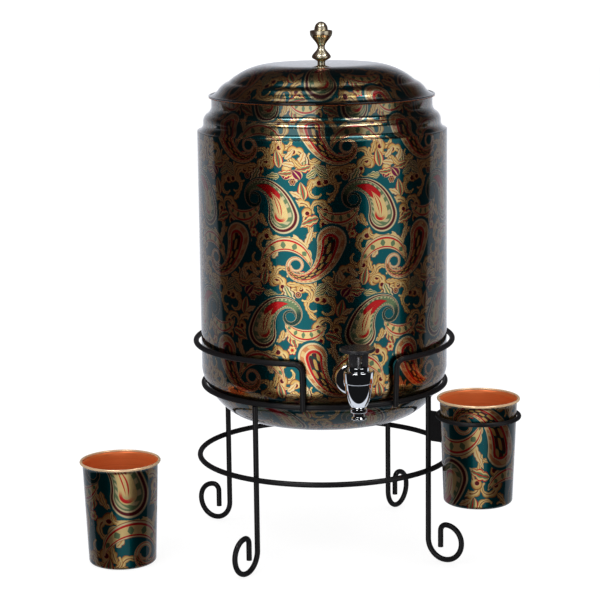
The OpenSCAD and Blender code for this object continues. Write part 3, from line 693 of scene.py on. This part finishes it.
# %% [markdown]
# ## Printed copper
#
# The pot, the lid and the tumblers wear printed foil under clear lacquer. The metal under the inks mirrors
# the studio, so the print is bright where a softbox is mirrored and dim elsewhere. The foil itself is
# slightly matt, so a softbox has soft edges in it. The lacquer over it is a sharp clear coat.
# On the neck the print is mixed towards a dark teal, and on the lid too, most at its edge: this is painted
# shade. The lacquer mirrors more there.


# %% Printed copper
# The first colour below is painted shade: the dark teal that the print is mixed towards on the neck and on
# the lid.
PAINTED_SHADE, NECK, LID_EDGE = (0.03, 0.07, 0.065, 1), (0.391, 0.400), (0.425, 0.440)
THIN_COAT, LID_COAT, THICK_COAT = 1.25, 1.35, 1.6
NECK_SHADE, LID_SHADES = 0.42, (0.36, 0.25)
FOIL, CUP_FOIL = (0.20, 0.26), (0.33, 0.40)
SHEET_WAVES = {"size": 14, "speckle": 900, "bump": 0.10, "distance": 0.0005}
LACQUER = {"Metallic": 1.0, "Coat_Weight": 1.0, "Coat_Roughness": 0.0}


def printed_copper(name, centre, repeats, start, rise, wall, half, rough, grow=1.0):
    """The print on a turned piece: where it starts, how often it repeats and how far it is stretched."""
    material, s, sockets, where, _ = new_finish(name, rough=rough, **SHEET_WAVES)
    feeds = {"Object": where, "Centre": centre * MM, "Per Turn": repeats * REPEAT, "Start": start}
    feeds.update({"Rise": rise, "Wall": wall, "Half": half})
    pattern = s.use(round_wall, feeds)["Pattern"]
    if grow != 1.0:
        pattern = s.along("MULTIPLY", pattern, (1.0, 1 / grow, 1.0))
    colour = s.use(paisley_print, {"Pattern": pattern})["Color"]
    height = s.split(where)[2]
    # Painted shade: the print on the shoulder and neck is mixed towards dark teal.
    colour = s.paint(colour, PAINTED_SHADE, s.band(height, *NECK, 0.0, NECK_SHADE))
    coat = s.band(height, *NECK, THIN_COAT, THICK_COAT)
    shade(s, sockets, Base_Color=colour, Coat_IOR=coat, **LACQUER)
    return material


CAMERA_SIDE = math.atan2(CAMERA_FROM_POT.y, CAMERA_FROM_POT.x)
POT_REPEATS, FACING_CAMERA = 8, 66.5
FRONT_START = FACING_CAMERA - (CAMERA_SIDE + math.pi / 2) * POT_REPEATS * REPEAT / (2 * math.pi)
CUP_WALL = {"wall": 34, "half": 48, "rough": CUP_FOIL}
pot_print = printed_copper("pot_print", POT_AXIS, POT_REPEATS, FRONT_START, -288.6, POT_RADIUS, 280, FOIL)
held_print = printed_copper("held_cup_print", HELD_CUP, 2, 61.6, -73.9, **CUP_WALL, grow=-1.18)
loose_print = printed_copper("loose_cup_print", LOOSE_CUP, 1.75, 27, -18, **CUP_WALL, grow=1.35)
print("print starts at", round(FRONT_START, 1), "mm")

# %% [markdown]
# The lid is pressed from a flat printed sheet, so its print isn't wrapped: it lies flat, seen from above. Its
# print is painted darker all over, most near its edge, and its rolled edge is nearly black: both are painted
# shade.

# %% Printed lid
lid_print, s, sockets, where, _ = new_finish("lid_print", rough=FOIL, **SHEET_WAVES)
from_above = {"Vector": where, "Scale": TO_MM, "Rotation": (0, 0, TAP_TURN)}
flat = s.node("ShaderNodeMapping", from_above).outputs[0]
colour = s.use(paisley_print, {"Pattern": s.along("MULTIPLY", flat, (1, 1, 0))})["Color"]
height = s.split(where)[2]
# Painted shade: the lid's print is mixed towards dark teal, most at its edge.
colour = s.paint(colour, PAINTED_SHADE, s.band(height, *LID_EDGE, *LID_SHADES))
coat = s.band(height, *LID_EDGE, THICK_COAT, LID_COAT)
shade(s, sockets, Base_Color=colour, Coat_IOR=coat, **LACQUER)
# Painted shade: a nearly black lacquered finish for the lid's rolled bead and the pot's mouth.
tones = (0.010, 0.007, 0.006), (0.006, 0.004, 0.004)
painted_shade_rim = plain_finish("painted_shade_rim", 14, 900, (0.25, 0.35), 0.05, *tones, distance=0.0005, **LACQUER)
print("lid print ready")

# %% [markdown]
# ## Bare copper, brass, chrome and steel
#
# The insides are bare copper with fine spinning lines round the axis. The knob is turned brass, a little
# tarnished where the polish can't reach. The tap is bright chrome, and its pin and stem are plain steel.

# %% Bare copper
bare_copper, s, sockets, where, _ = new_finish("bare_copper", 30, 1200, (0.30, 0.40), 0.06, 0.002)
stretched = s.along("MULTIPLY", where, (4, 4, 700))
lines = s.node("ShaderNodeTexNoise", {"Vector": stretched, "Scale": 1.0, "Detail": 3.0}).outputs[0]
colour = s.paint((0.76, 0.19, 0.050, 1), (0.68, 0.15, 0.036, 1), s.past(lines, 0.5, 0.5))
shade(s, sockets, Base_Color=colour, Metallic=0.5)
tones = (0.97, 0.70, 0.44), (0.92, 0.61, 0.36)
polished_copper = plain_finish("polished_copper", 60, 1500, (0.12, 0.2), 0.04, *tones, Metallic=0.6)
print("copper ready")

# %% Brass, chrome and steel
brass, s, sockets, _, waves = new_finish("brass", 120, 1500, (0.24, 0.32), 0.03, 0.001)
tarnish = s.past(waves["Height"], 0.62, 0.3)
colour = s.paint((0.84, 0.77, 0.58, 1), (0.72, 0.63, 0.44, 1), tarnish)
shade(s, sockets, Base_Color=colour, Metallic=1.0)
tones = (0.82, 0.84, 0.86), (0.72, 0.74, 0.77)
chrome = plain_finish("chrome", 90, 1800, 0.0, 0.03, *tones, Metallic=1.0)
tones = (0.84, 0.86, 0.90), (0.74, 0.76, 0.80)
steel = plain_finish("steel", 120, 1800, (0.22, 0.36), 0.05, *tones, Metallic=1.0)
print("brass, chrome and steel ready")

# %% [markdown]
# ## Black paint, plastic and rubber
#
# The wire is dipped in black paint, which flows a little and dries half glossy. The lever is moulded black
# plastic with a smoother shine, and the gaskets are dull rubber.

# %% Black paint, plastic and rubber
tones = (0.004, 0.004, 0.0045), (0.008, 0.008, 0.009)
dipped = {"Specular_IOR_Level": 0.2, "Coat_Weight": 0.1, "Coat_Roughness": 0.12}
black_wire = plain_finish("black_wire", 160, 2200, (0.26, 0.40), 0.10, *tones, **dipped)
tones = (0.010, 0.010, 0.011), (0.016, 0.016, 0.018)
black_plastic = plain_finish("black_plastic", 200, 2600, (0.16, 0.26), 0.05, *tones)
tones = (0.02, 0.02, 0.02), (0.035, 0.035, 0.035)
rubber = plain_finish("rubber", 240, 2400, (0.6, 0.75), 0.1, *tones)
print("black finishes ready")

# %% [markdown]
# ## The lathe
#
# Most pieces here are round, and round pieces are drawn as half an outline and turned. The outline is a list
# of corners in millimetres, from the axis outwards and up. A corner with a third number is rounded to that
# radius, as a turner would break an edge. The spin operator then sweeps the outline once round the axis.


# %% Outline helpers
def arc_line(mid, radius, start, end, steps):
    """Part of a circle, between two angles in degrees."""
    turns = [math.radians(start + (end - start) * i / steps) for i in range(steps + 1)]
    return [(mid[0] + radius * math.cos(a), mid[1] + radius * math.sin(a)) for a in turns]


def soft_line(start, end, steps=10):
    """An S from one point to the next, upright at both ends."""
    shares = [i / steps for i in range(1, steps + 1)]
    swing = [(1 - math.cos(math.pi * t)) / 2 for t in shares]
    wide, high = end[0] - start[0], end[1] - start[1]
    return [(start[0] + wide * w, start[1] + high * t) for w, t in zip(swing, shares)]


def rounded(corners, steps=5):
    """The outline with every corner that has a third number rounded to that radius."""
    line = []
    for i, corner in enumerate(corners):
        if len(corner) == 2:
            line.append(corner)
            continue
        here = Vector(corner[:2])
        back = Vector(corners[i - 1][:2]) - here
        on = Vector(corners[i + 1][:2]) - here
        half = back.angle(on) / 2
        reach = min(corner[2] / math.tan(half), 0.49 * back.length, 0.49 * on.length)
        middle = here + (back.normalized() + on.normalized()).normalized() * (reach / math.cos(half))
        start = here + back.normalized() * reach - middle
        sweep = math.atan2(*reversed(here + on.normalized() * reach - middle)) - math.atan2(start.y, start.x)
        sweep = (sweep + math.pi) % (2 * math.pi) - math.pi
        for k in range(steps + 1):
            a = sweep * k / steps
            c, n = math.cos(a), math.sin(a)
            line.append(tuple(middle + Vector((start.x * c - start.y * n, start.x * n + start.y * c))))
    return line


def other_face(line, thickness):
    """The second face of a sheet: every point moves square to the line, to its left."""
    moved = []
    for i, point in enumerate(line):
        way = Vector(line[min(i + 1, len(line) - 1)]) - Vector(line[max(i - 1, 0)])
        moved.append(tuple(Vector(point) + Vector((-way.y, way.x)).normalized() * thickness))
    return moved


print("outline helpers ready")


# %% Spin an outline and finish a piece
MERGE, TOO_SHORT = 0.003, 0.001
CURVE_STEPS, POT_STEPS, CUP_STEPS, TAP_STEPS, SMALL_STEPS = 24, 192, 112, 72, 64


def turn_on_lathe(bm, line, place, finish, steps):
    """Adds the surface that an outline sweeps about its upright axis, moved to its place."""
    known = set(bm.faces)
    points = [bm.verts.new((r * MM, 0, z * MM)) for r, z in line]
    edges = [bm.edges.new(pair) for pair in zip(points, points[1:])]
    bmesh.ops.spin(bm, geom=points + edges, axis=(0, 0, 1), angle=2 * math.pi, steps=steps, use_merge=True)
    made = [face for face in bm.faces if face not in known]
    for face in made:
        face.material_index = finish
        face.smooth = True
    corners = list({corner for face in made for corner in face.verts})
    bmesh.ops.transform(bm, matrix=place, verts=corners)


def finish_piece(bm, name, body, finishes, stands_for, crease=40):
    """Closes the mesh, makes the object, and ties it to its CAD body."""
    bmesh.ops.remove_doubles(bm, verts=bm.verts, dist=MERGE * MM)
    bmesh.ops.dissolve_degenerate(bm, edges=bm.edges, dist=TOO_SHORT * MM)
    bmesh.ops.recalc_face_normals(bm, faces=bm.faces)
    mesh = bpy.data.meshes.new(name)
    bm.to_mesh(mesh)
    bm.free()
    for finish in finishes:
        mesh.materials.append(finish)
    mesh.set_sharp_from_angle(angle=math.radians(crease))
    piece = bpy.data.objects.new(name, mesh)
    scene.collection.objects.link(piece)
    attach(piece, body)
    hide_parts(*stands_for)
    print(name, "has", len(mesh.polygons), "faces")
    return piece


def standing_at(axis, z=0):
    """The place of a piece that is turned about an upright axis."""
    return Matrix.Translation((axis + Vector((0, 0, z))) * MM)


# %% [markdown]
# ## The pot
#
# The pot is one copper sheet: a rounded bottom, a straight wall, a coved shoulder with a thin band over it,
# and a neck that curves in to the mouth. The bottom is the same rounded square curve as in the CAD part.
# The outside and the inside are two outlines that meet on the rounded edge of the mouth.

# %% Pot shell
POT_FOOT, WALL_LOW, WALL_TOP, RIM_HIGH = 126.964, 172.464, 392.464, 423.464
BASE_FLAT, BASE_POWER, BAND_RADIUS, MOUTH_RADIUS = 76, 1.25, 109.3, 101.6
COVE, NECK_BEND, NECK_TURN, MOUTH_EDGE = 7, 8.29, 57.62, 0.6
bowl = []
for i in range(CURVE_STEPS + 1):
    a = math.radians(90 - 90 * i / CURVE_STEPS)
    out, down = max(math.cos(a), 0) ** BASE_POWER, math.sin(a) ** BASE_POWER
    bowl.append((BASE_FLAT + (POT_RADIUS - BASE_FLAT) * out, WALL_LOW - (WALL_LOW - POT_FOOT) * down))
shoulder = arc_line((BAND_RADIUS + COVE, 400.564), COVE, 259.3, 180, 8)
neck_in = arc_line((BAND_RADIUS - NECK_BEND, 402.064), NECK_BEND, 0, NECK_TURN, 8)
neck_up = arc_line((MOUTH_RADIUS + NECK_BEND, 416.064), NECK_BEND, 180 + NECK_TURN, 180, 8)
wall = [*bowl, (POT_RADIUS, WALL_TOP), (POT_RADIUS, shoulder[0][1], 0.8)]
pot_line = rounded([*wall, *shoulder[1:], *neck_in, *neck_up[1:], (MOUTH_RADIUS, RIM_HIGH)])
mouth = arc_line((MOUTH_RADIUS - MOUTH_EDGE, RIM_HIGH), MOUTH_EDGE, 0, 180, 6)
pot_inside = other_face(pot_line, SHEET)[:-1] + [(MOUTH_RADIUS - SHEET, RIM_HIGH)]
bm = bmesh.new()
turn_on_lathe(bm, [(0, POT_FOOT), *pot_line], standing_at(POT_AXIS), 0, POT_STEPS)
# The rounded edge of the mouth gets the nearly black finish: painted shade.
turn_on_lathe(bm, mouth, standing_at(POT_AXIS), 2, POT_STEPS)
turn_on_lathe(bm, [(0, POT_FOOT + SHEET), *pot_inside], standing_at(POT_AXIS), 1, POT_STEPS)
pot_finishes, pot_nodes = [pot_print, bare_copper, painted_shade_rim], ["pot_base", "pot_wall", "pot_collar"]
finish_piece(bm, "pot_shell", "pot", pot_finishes, pot_nodes)

# %% [markdown]
# ## The lid
#
# The lid is pressed from one sheet too: a turned-out lip, a cove, a small step and a low dome with a flat
# top. Each curve is one bend, from one slope to the next, and the lip's edge is rolled to a thin bead.


# %% Lid dome
def pressed_bend(r, z, radius, start, end, steps):
    """A bend of a pressed sheet, from one slope to another, going inwards and up."""
    slopes = [math.radians(start + (end - start) * i / steps) for i in range(steps + 1)]
    sine, cosine = math.sin(slopes[0]), math.cos(slopes[0])
    return [(r - radius * abs(math.sin(a) - sine), z + radius * abs(math.cos(a) - cosine)) for a in slopes]


LID_SHEET, LID_TOP, LIP_BEAD = 1.0, 453.385, 0.8
lid_line = pressed_bend(104.0, 424.776, 13.478, 10, 55, 10)
lid_line += pressed_bend(95.3, 430.319, 20.539, 55, 20, 10)[1:]
lid_line += pressed_bend(85.5, 437.839, 60.526, 42, 0, 16)[1:]
lid_inside = other_face(lid_line, LID_SHEET)
bm = bmesh.new()
turn_on_lathe(bm, [*lid_line, (0, LID_TOP)], standing_at(POT_AXIS), 0, POT_STEPS)
# The rolled bead gets the nearly black finish: painted shade.
turn_on_lathe(bm, arc_line((103.3, 425.0), LIP_BEAD, 45, 405, 12), standing_at(POT_AXIS), 2, POT_STEPS)
turn_on_lathe(bm, [*lid_inside, (0, LID_TOP - LID_SHEET)], standing_at(POT_AXIS), 1, POT_STEPS)
finish_piece(bm, "lid_dome", "lid", [lid_print, bare_copper, painted_shade_rim], ["lid_shell"])

# %% [markdown]
# ## The knob
#
# The knob is turned from brass bar: a foot, a bulb, a thin waist, a cup with an upright rim and a small domed
# cap. The curves are soft S shapes from one width to the next, as in the CAD part.

# %% Brass knob
CAP_RADIUS, CAP_LOW, KNOB_HIGH = 6.2, 30.78, 38
knob_line = [(0, 0), (3.6, 0), (3.6, 1.52)]
knob_line += soft_line((3.6, 1.52), (8.8, 5.7))
knob_line += soft_line((8.8, 5.7), (3.3, 14.82), 16)
knob_line += soft_line((3.3, 14.82), (10.3, 27.74), 16)
knob_line += [(10.3, 29.64)]
knob_line += soft_line((10.3, 29.64), (CAP_RADIUS, CAP_LOW), 6)
for a in map(math.radians, range(9, 90, 9)):
    knob_line.append((CAP_RADIUS * math.cos(a), CAP_LOW + (KNOB_HIGH - CAP_LOW) * math.sin(a)))
knob_line.append((0, KNOB_HIGH))
bm = bmesh.new()
turn_on_lathe(bm, knob_line, standing_at(POT_AXIS, LID_TOP), 0, SMALL_STEPS)
finish_piece(bm, "brass_knob", "lid", [brass], ["finial"])

# %% [markdown]
# ## The tumblers
#
# A tumbler is a drawn copper cup, printed outside and bare inside. Its mouth flares and its edge is rolled
# outwards into a polished bead, which is the brightest line on it. Both tumblers use the same outline.

# %% Tumblers
CUP_SHEET, CUP_HIGH, BEAD = 0.9, 96.5, 1.15
cup_line = arc_line((28.2, 3), 3, -90, 0, 6)
for a in map(math.radians, range(0, 76, 15)):
    cup_line.append((34.6 + 1.7 * (1 - math.cos(a)), 90.5 + (4.9 - BEAD) * math.sin(a)))
bead = arc_line((37.2 - BEAD, CUP_HIGH - BEAD), BEAD, 235, -70, 14)
cup_inside = other_face(cup_line, CUP_SHEET)
for name, body, node, axis, finish in (
    ("held_cup", "held_tumbler", "tumbler_held", HELD_CUP, held_print),
    ("loose_cup", "loose_tumbler", "tumbler_loose", LOOSE_CUP, loose_print),
):
    bm = bmesh.new()
    turn_on_lathe(bm, [(0, 0), *cup_line], standing_at(axis), 0, CUP_STEPS)
    turn_on_lathe(bm, [(0, CUP_SHEET), *cup_inside], standing_at(axis), 1, CUP_STEPS)
    turn_on_lathe(bm, [cup_inside[-1], *bead, cup_line[-1]], standing_at(axis), 2, CUP_STEPS)
    finish_piece(bm, name, body, [finish, bare_copper, polished_copper], [node])

# %% [markdown]
# ## The tap
#
# The tap is cast and chromed: an egg-shaped body over a collar and a spout, and a flanged shank that goes
# through the pot's wall. The body is turned about the tap's upright axis and the flange about the shank.
# Every edge is rounded a little, because chrome shows an edge as a bright line.

# %% Tap body
SHANK_HIGH, BODY_TOP, COLLAR_TOP, COLLAR_LOW, OUTLET = 182.964, 185.964, 163.464, 160.064, 153.664
EGG_RADIUS, EGG_HIGH, EGG_POWER, EGG_FULL, BORE_TOP = 11.8, 22.1, 2.3, 1.12, OUTLET + 9
egg = []
for i in range(CURVE_STEPS + 1):
    deep = math.sin(math.radians(90 - 90 * i / CURVE_STEPS))
    egg.append((EGG_RADIUS * math.sqrt(1 - (deep / EGG_FULL) ** EGG_POWER), BODY_TOP - EGG_HIGH * deep))
spout = [(3.4, BORE_TOP), (3.4, OUTLET, 0.4), (6.5, OUTLET, 0.5), (6.5, OUTLET + 1.2, 0.5)]
spout += [(4.9, OUTLET + 2.8, 0.8), (4.9, COLLAR_LOW, 0.4), (7.3, COLLAR_LOW, 0.7)]
spout += [(7.3, COLLAR_TOP, 0.6), egg[0]]
body_line = [(0, BORE_TOP), *rounded(spout), *egg[1:], (11.3, BODY_TOP + 0.4), (0, BODY_TOP + 0.4)]
flange = [(0, 105), (5.5, 105), (5.5, 117), (14, 117, 0.5)]
for a in map(math.radians, range(0, 91, 9)):
    flange.append((6 + 8 * math.cos(a), 118.2 + 3.3 * math.sin(a)))
flange += [(6, 148), (0, 148)]
bm = bmesh.new()
turn_on_lathe(bm, body_line, standing_at(TAP_AXIS), 0, TAP_STEPS)
along_shank = standing_at(POT_AXIS, SHANK_HIGH) @ Matrix.Rotation(math.radians(90), 4, "X")
turn_on_lathe(bm, rounded(flange), along_shank, 0, SMALL_STEPS)
finish_piece(bm, "tap_casting", "pot", [chrome], ["tap_body"])

# %% Tap bonnet
bonnet_corners = [(2.2, 195.46), (2.2, 200.764), (9.2, 200.764, 0.9), (9.2, 196.964, 0.4)]
bonnet_corners += [(12.8, 196.964, 1.6), (12.8, 186.4, 1.0), (11.6, BODY_TOP), (8.35, BODY_TOP)]
bm = bmesh.new()
turn_on_lathe(bm, rounded(bonnet_corners), standing_at(TAP_AXIS), 0, TAP_STEPS)
finish_piece(bm, "bonnet_cap", "pot", [chrome], ["bonnet"])

# %% [markdown]
# ## The spring
#
# Inside the tap a coil of steel wire stands between the shoulder of the stem and the roof of the bonnet. The
# CAD part holds it as a plain sleeve. Here a ring of wire is spun upwards round the tap's axis, and the open
# ends are closed. The stem presses the coil together as it lifts; here the coil is wound evenly along its
# length.

# %% Spring
SPRING_LOW, SPRING_TOP, SPRING_RADIUS, SPRING_WIRE = 173.227, 195.415, 3.9, 0.7
COILS, COIL_STEPS, STEM_LIFT = 9, 24, 2.05
spring_high = SPRING_TOP - SPRING_LOW
bm = bmesh.new()
lying = Matrix.Translation(Vector((SPRING_RADIUS, 0, SPRING_LOW + SPRING_WIRE)) * MM)
lying = lying @ Matrix.Rotation(math.pi / 2, 4, "X")
ring = bmesh.ops.create_circle(bm, radius=SPRING_WIRE * MM, segments=12, matrix=lying)["verts"]
all_steps = COILS * COIL_STEPS
climb = Vector((0, 0, (spring_high - 2 * SPRING_WIRE) / all_steps * MM))
winding = {"axis": (0, 0, 1), "dvec": climb, "angle": 2 * math.pi * COILS, "steps": all_steps}
bmesh.ops.spin(bm, geom=ring + bm.edges[:], **winding)
bmesh.ops.holes_fill(bm, edges=[edge for edge in bm.edges if edge.is_boundary])
for face in bm.faces:
    face.smooth = True
bmesh.ops.transform(bm, matrix=standing_at(TAP_AXIS), verts=bm.verts)
spring = finish_piece(bm, "coil_spring", "pot", [steel], ["stem_spring"])
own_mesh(spring)

# %% [markdown]
# ## The lever
#
# The lever is one black moulding: a forked neck that straddles the stem and the pin, and a round thumb plate
# set a little back. The neck's plan is a circle cut flat at the front and the back. It is cut into a middle
# and two cheeks, raised to the plate, and the cheeks are then drawn down to the foot so a slot stays open.

# %% Lever
LEVER_FOOT, SLOT_TOP, LEVER_TOP = 201.164, 210.764, 213.564
NECK_RADIUS, NECK_DEEP, SLOT_HALF, BROKEN_EDGE = 8.8, 5.5, 2.5, 0.35
PLATE_BACK = Vector((0, 3, 0))
bm = bmesh.new()
bmesh.ops.create_circle(bm, cap_ends=True, radius=NECK_RADIUS * MM, segments=SMALL_STEPS)
bmesh.ops.translate(bm, vec=(0, 0, SLOT_TOP * MM), verts=bm.verts)
for way in (-1, 1):
    cut = {"plane_co": (0, way * NECK_DEEP * MM, 0), "plane_no": (0, way, 0), "clear_outer": True}
    bmesh.ops.bisect_plane(bm, geom=bm.verts[:] + bm.edges[:] + bm.faces[:], **cut)
    cut = {"plane_co": (way * SLOT_HALF * MM, 0, 0), "plane_no": (way, 0, 0)}
    bmesh.ops.bisect_plane(bm, geom=bm.verts[:] + bm.edges[:] + bm.faces[:], **cut)
cheeks = [face for face in bm.faces if abs(face.calc_center_median().x) > SLOT_HALF * MM]
raised = bmesh.ops.extrude_face_region(bm, geom=bm.faces[:], use_keep_orig=True)["geom"]
lifted = [item for item in raised if isinstance(item, bmesh.types.BMVert)]
bmesh.ops.translate(bm, vec=(0, 0, (LEVER_TOP - SLOT_TOP) * MM), verts=lifted)
lowered = bmesh.ops.extrude_face_region(bm, geom=cheeks)["geom"]
drawn = [item for item in lowered if isinstance(item, bmesh.types.BMVert)]
bmesh.ops.translate(bm, vec=(0, 0, (LEVER_FOOT - SLOT_TOP) * MM), verts=drawn)
bmesh.ops.recalc_face_normals(bm, faces=bm.faces)
folds = [edge for edge in bm.edges if len(edge.link_faces) == 2]
sharp = [edge for edge in folds if edge.calc_face_angle() > math.radians(30)]
bmesh.ops.bevel(bm, geom=sharp, offset=BROKEN_EDGE * MM, segments=2, profile=0.5, affect="EDGES", material=-1)
bmesh.ops.transform(bm, matrix=standing_at(TAP_AXIS), verts=bm.verts)
plate = [(0, LEVER_TOP), (14.4, LEVER_TOP, 0.8), (16, LEVER_TOP + 1.6, 0.9), (15.2, LEVER_TOP + 3.2, 0.9)]
plate += [(12, LEVER_TOP + 3.05), (0, LEVER_TOP + 2.7)]
turn_on_lathe(bm, rounded(plate), standing_at(TAP_AXIS + PLATE_BACK), 0, TAP_STEPS)
finish_piece(bm, "lever_moulding", "lever", [black_plastic], ["tap_handle"], crease=35)

# %% [markdown]
# ## Finishes on the CAD pieces that stay
#
# The wire rings, the legs and the small hidden pieces already have the right shape. They only change their
# material.

# %% CAD finishes
stand = "top_rail rail_post_left rail_post_right support_ring floor_ring holder_plate holder_ring "
stand += "leg_front_left leg_front_right leg_back_left leg_back_right"
for finish, names in (
    (steel, "handle_pin stem lock_nut finial_washer finial_screw"),
    (bare_copper, "lid_ring"),
    (rubber, "outer_gasket inner_gasket seat_cup"),
    (black_wire, stand),
):
    for name in names.split():
        for material_slot in cad_nodes[name].material_slots:
            material_slot.material = finish
    print(finish.name, "on", len(names.split()), "CAD pieces")

# %% [markdown]
# ## The studio
#
# The object stands on a plain pale floor in front of white. Its mirror-like sides show what stands round it:
# a tall softbox on each side, dark between and beside them, and white again far behind and on the floor.
# The white starts at one slanted plane: the backdrop stands behind the object, and the white table runs on
# under it and ends a little way in front. Upwards the backdrop fades. The camera sees white everywhere. The
# first colour of a pair is what the matt foil mirrors, and the second what the sharp lacquer mirrors.

# %% World
LEAN, WHITE_FROM, HAZE_FROM, HORIZON = 1.368, (0.585, 0.655), (0.05, 0.95), 0.03
BACKDROP = (0.10, 0.10, 0.11, 1), (0.82, 0.85, 0.93, 1)
DARK = (0.036, 0.021, 0.020, 1), (0.010, 0.010, 0.011, 1)
ALL_ROUND = (1.2, 1.2, 1.2, 1)
world = bpy.data.worlds.new("studio")
scene.world = world
world.use_nodes = True
world.node_tree.nodes.clear()
s = Sketch(world.node_tree)
away = Vector((-CAMERA_FROM_POT.x, -CAMERA_FROM_POT.y, 0)).normalized()
direction = s.node("ShaderNodeTexCoord").outputs["Generated"]
slant = s.along("DOT_PRODUCT", direction, tuple(away - LEAN * up))
height = s.split(direction)[2]
white = s.multiply(s.band(slant, *WHITE_FROM), s.band(height, HORIZON, -HORIZON))
haze = s.multiply(s.band(slant, *HAZE_FROM), s.band(height, -HORIZON, HORIZON))
rays = s.node("ShaderNodeLightPath").outputs
backdrop = s.paint(*BACKDROP, rays["Is Singular Ray"])
mirrored = s.paint(*DARK, rays["Is Singular Ray"])
mirrored = s.paint(mirrored, backdrop, s.add(white, haze))
colour = s.paint(ALL_ROUND, mirrored, rays["Is Glossy Ray"])
sky = s.node("ShaderNodeBackground", {"Color": colour, "Strength": 1.0})
s.node("ShaderNodeOutputWorld", {"Surface": sky.outputs[0]})
world.cycles.sampling_method = "NONE"
print("world ready")

# %% [markdown]
# The lights are flat panels that face the object. Angles are counted from the camera, to its right. The two
# softboxes reach below the floor line, because the camera looks down and the pot mirrors them there. Thin
# strips higher up draw the bright lines on the neck and the lid, and two panels overhead light the dome.


# %% Light panels
def panel(name, middle, width, length, brightness, only):
    """A flat light at a point counted from the foot of the pot's axis, in millimetres, that faces it."""
    light = bpy.data.lights.new(name, "AREA")
    light.shape = "RECTANGLE"
    light.size = width * MM
    light.size_y = length * MM
    light.energy = brightness * math.pi * light.size * light.size_y
    lamp = bpy.data.objects.new(name, light)
    turn = middle.to_track_quat("Z", "Y").to_matrix().to_4x4()
    lamp.matrix_world = Matrix.Translation((POT_AXIS + middle) * MM) @ turn
    lamp.visible_camera = False
    lamp.light_linking.receiver_collection = only
    scene.collection.objects.link(lamp)
    print(name, round(light.size, 2), "by", round(light.size_y, 2), "m")


def around(angle, distance, height):
    """A point at an angle from the camera's side, as seen from the pot."""
    turn = CAMERA_SIDE + math.radians(angle)
    return Vector((distance * math.cos(turn), distance * math.sin(turn), height))


# %% [markdown]
# As in a real studio, some lights are flagged off from some pieces. The chrome tap is kept dark, so it only
# shows white lines. The tumblers get one broad softbox of their own in place of the two tall ones. The brass
# knob gets a dim one of its own beside those two.

# %% Flags
CUPS, TAP = ("held_cup", "loose_cup"), ("tap_casting", "bonnet_cap")


def flag(name, pieces, state):
    """The pieces that a light is kept to, or kept from."""
    chosen = bpy.data.collections.new(name)
    for piece in pieces:
        chosen.objects.link(bpy.data.objects[piece])
    for item in chosen.collection_objects:
        item.light_linking.link_state = state
    return chosen


off_small = flag("off_tap_and_cups", CUPS + TAP, "EXCLUDE")
cups_only = flag("cups_only", CUPS, "INCLUDE")
knob_only = flag("knob_only", ("brass_knob",), "INCLUDE")
print("flags ready")

# %% Lights
LIGHTS = (
    # name, angle, distance, height, width, length, brightness, flag
    ("left_softbox", -24.5, 2400, 0, 1610, 3000, 1.10, off_small),
    ("right_softbox", 56, 2400, 0, 1520, 3000, 0.62, off_small),
    ("cup_softbox", 4, 2400, 0, 1900, 3000, 0.72, cups_only),
    ("knob_softbox", 10, 2400, 1000, 5200, 2000, 0.22, knob_only),
    ("left_strip", -33, 1240, 2060, 960, 500, 7.5, None),
    ("right_strip", 53, 1240, 2060, 1000, 500, 5.0, None),
    ("left_overhead", -108, 630, 2650, 800, 1000, 0.9, None),
    ("right_overhead", 101.5, 970, 2650, 800, 900, 0.7, None),
)
for name, angle, distance, height, *form in LIGHTS:
    panel(name, around(angle, distance, height), *form)
print("lights:", len(LIGHTS))

# %% [markdown]
# The floor is white paper that is lit from below, as on a light table, so the object throws almost no shadow.

# %% Floor
FLOOR_HALF, FLOOR_GAP = 6, 0.0003
bm = bmesh.new()
bmesh.ops.create_grid(bm, x_segments=1, y_segments=1, size=FLOOR_HALF)
bmesh.ops.translate(bm, vec=(0, 0, -FLOOR_GAP), verts=bm.verts)
mesh = bpy.data.meshes.new("pale_floor")
bm.to_mesh(mesh)
bm.free()
floor_paint = bpy.data.materials.new("pale_floor")
floor_paint.use_nodes = True
s = Sketch(floor_paint.node_tree)
sockets = floor_paint.node_tree.nodes["Principled BSDF"].inputs
shade(s, sockets, Base_Color=(0.16, 0.16, 0.16, 1), Roughness=0.7)
shade(s, sockets, Emission_Color=(1, 1, 1, 1), Emission_Strength=0.86)
mesh.materials.append(floor_paint)
floor = bpy.data.objects.new("pale_floor", mesh)
scene.collection.objects.link(floor)
floor.visible_glossy = False
print("floor ready")
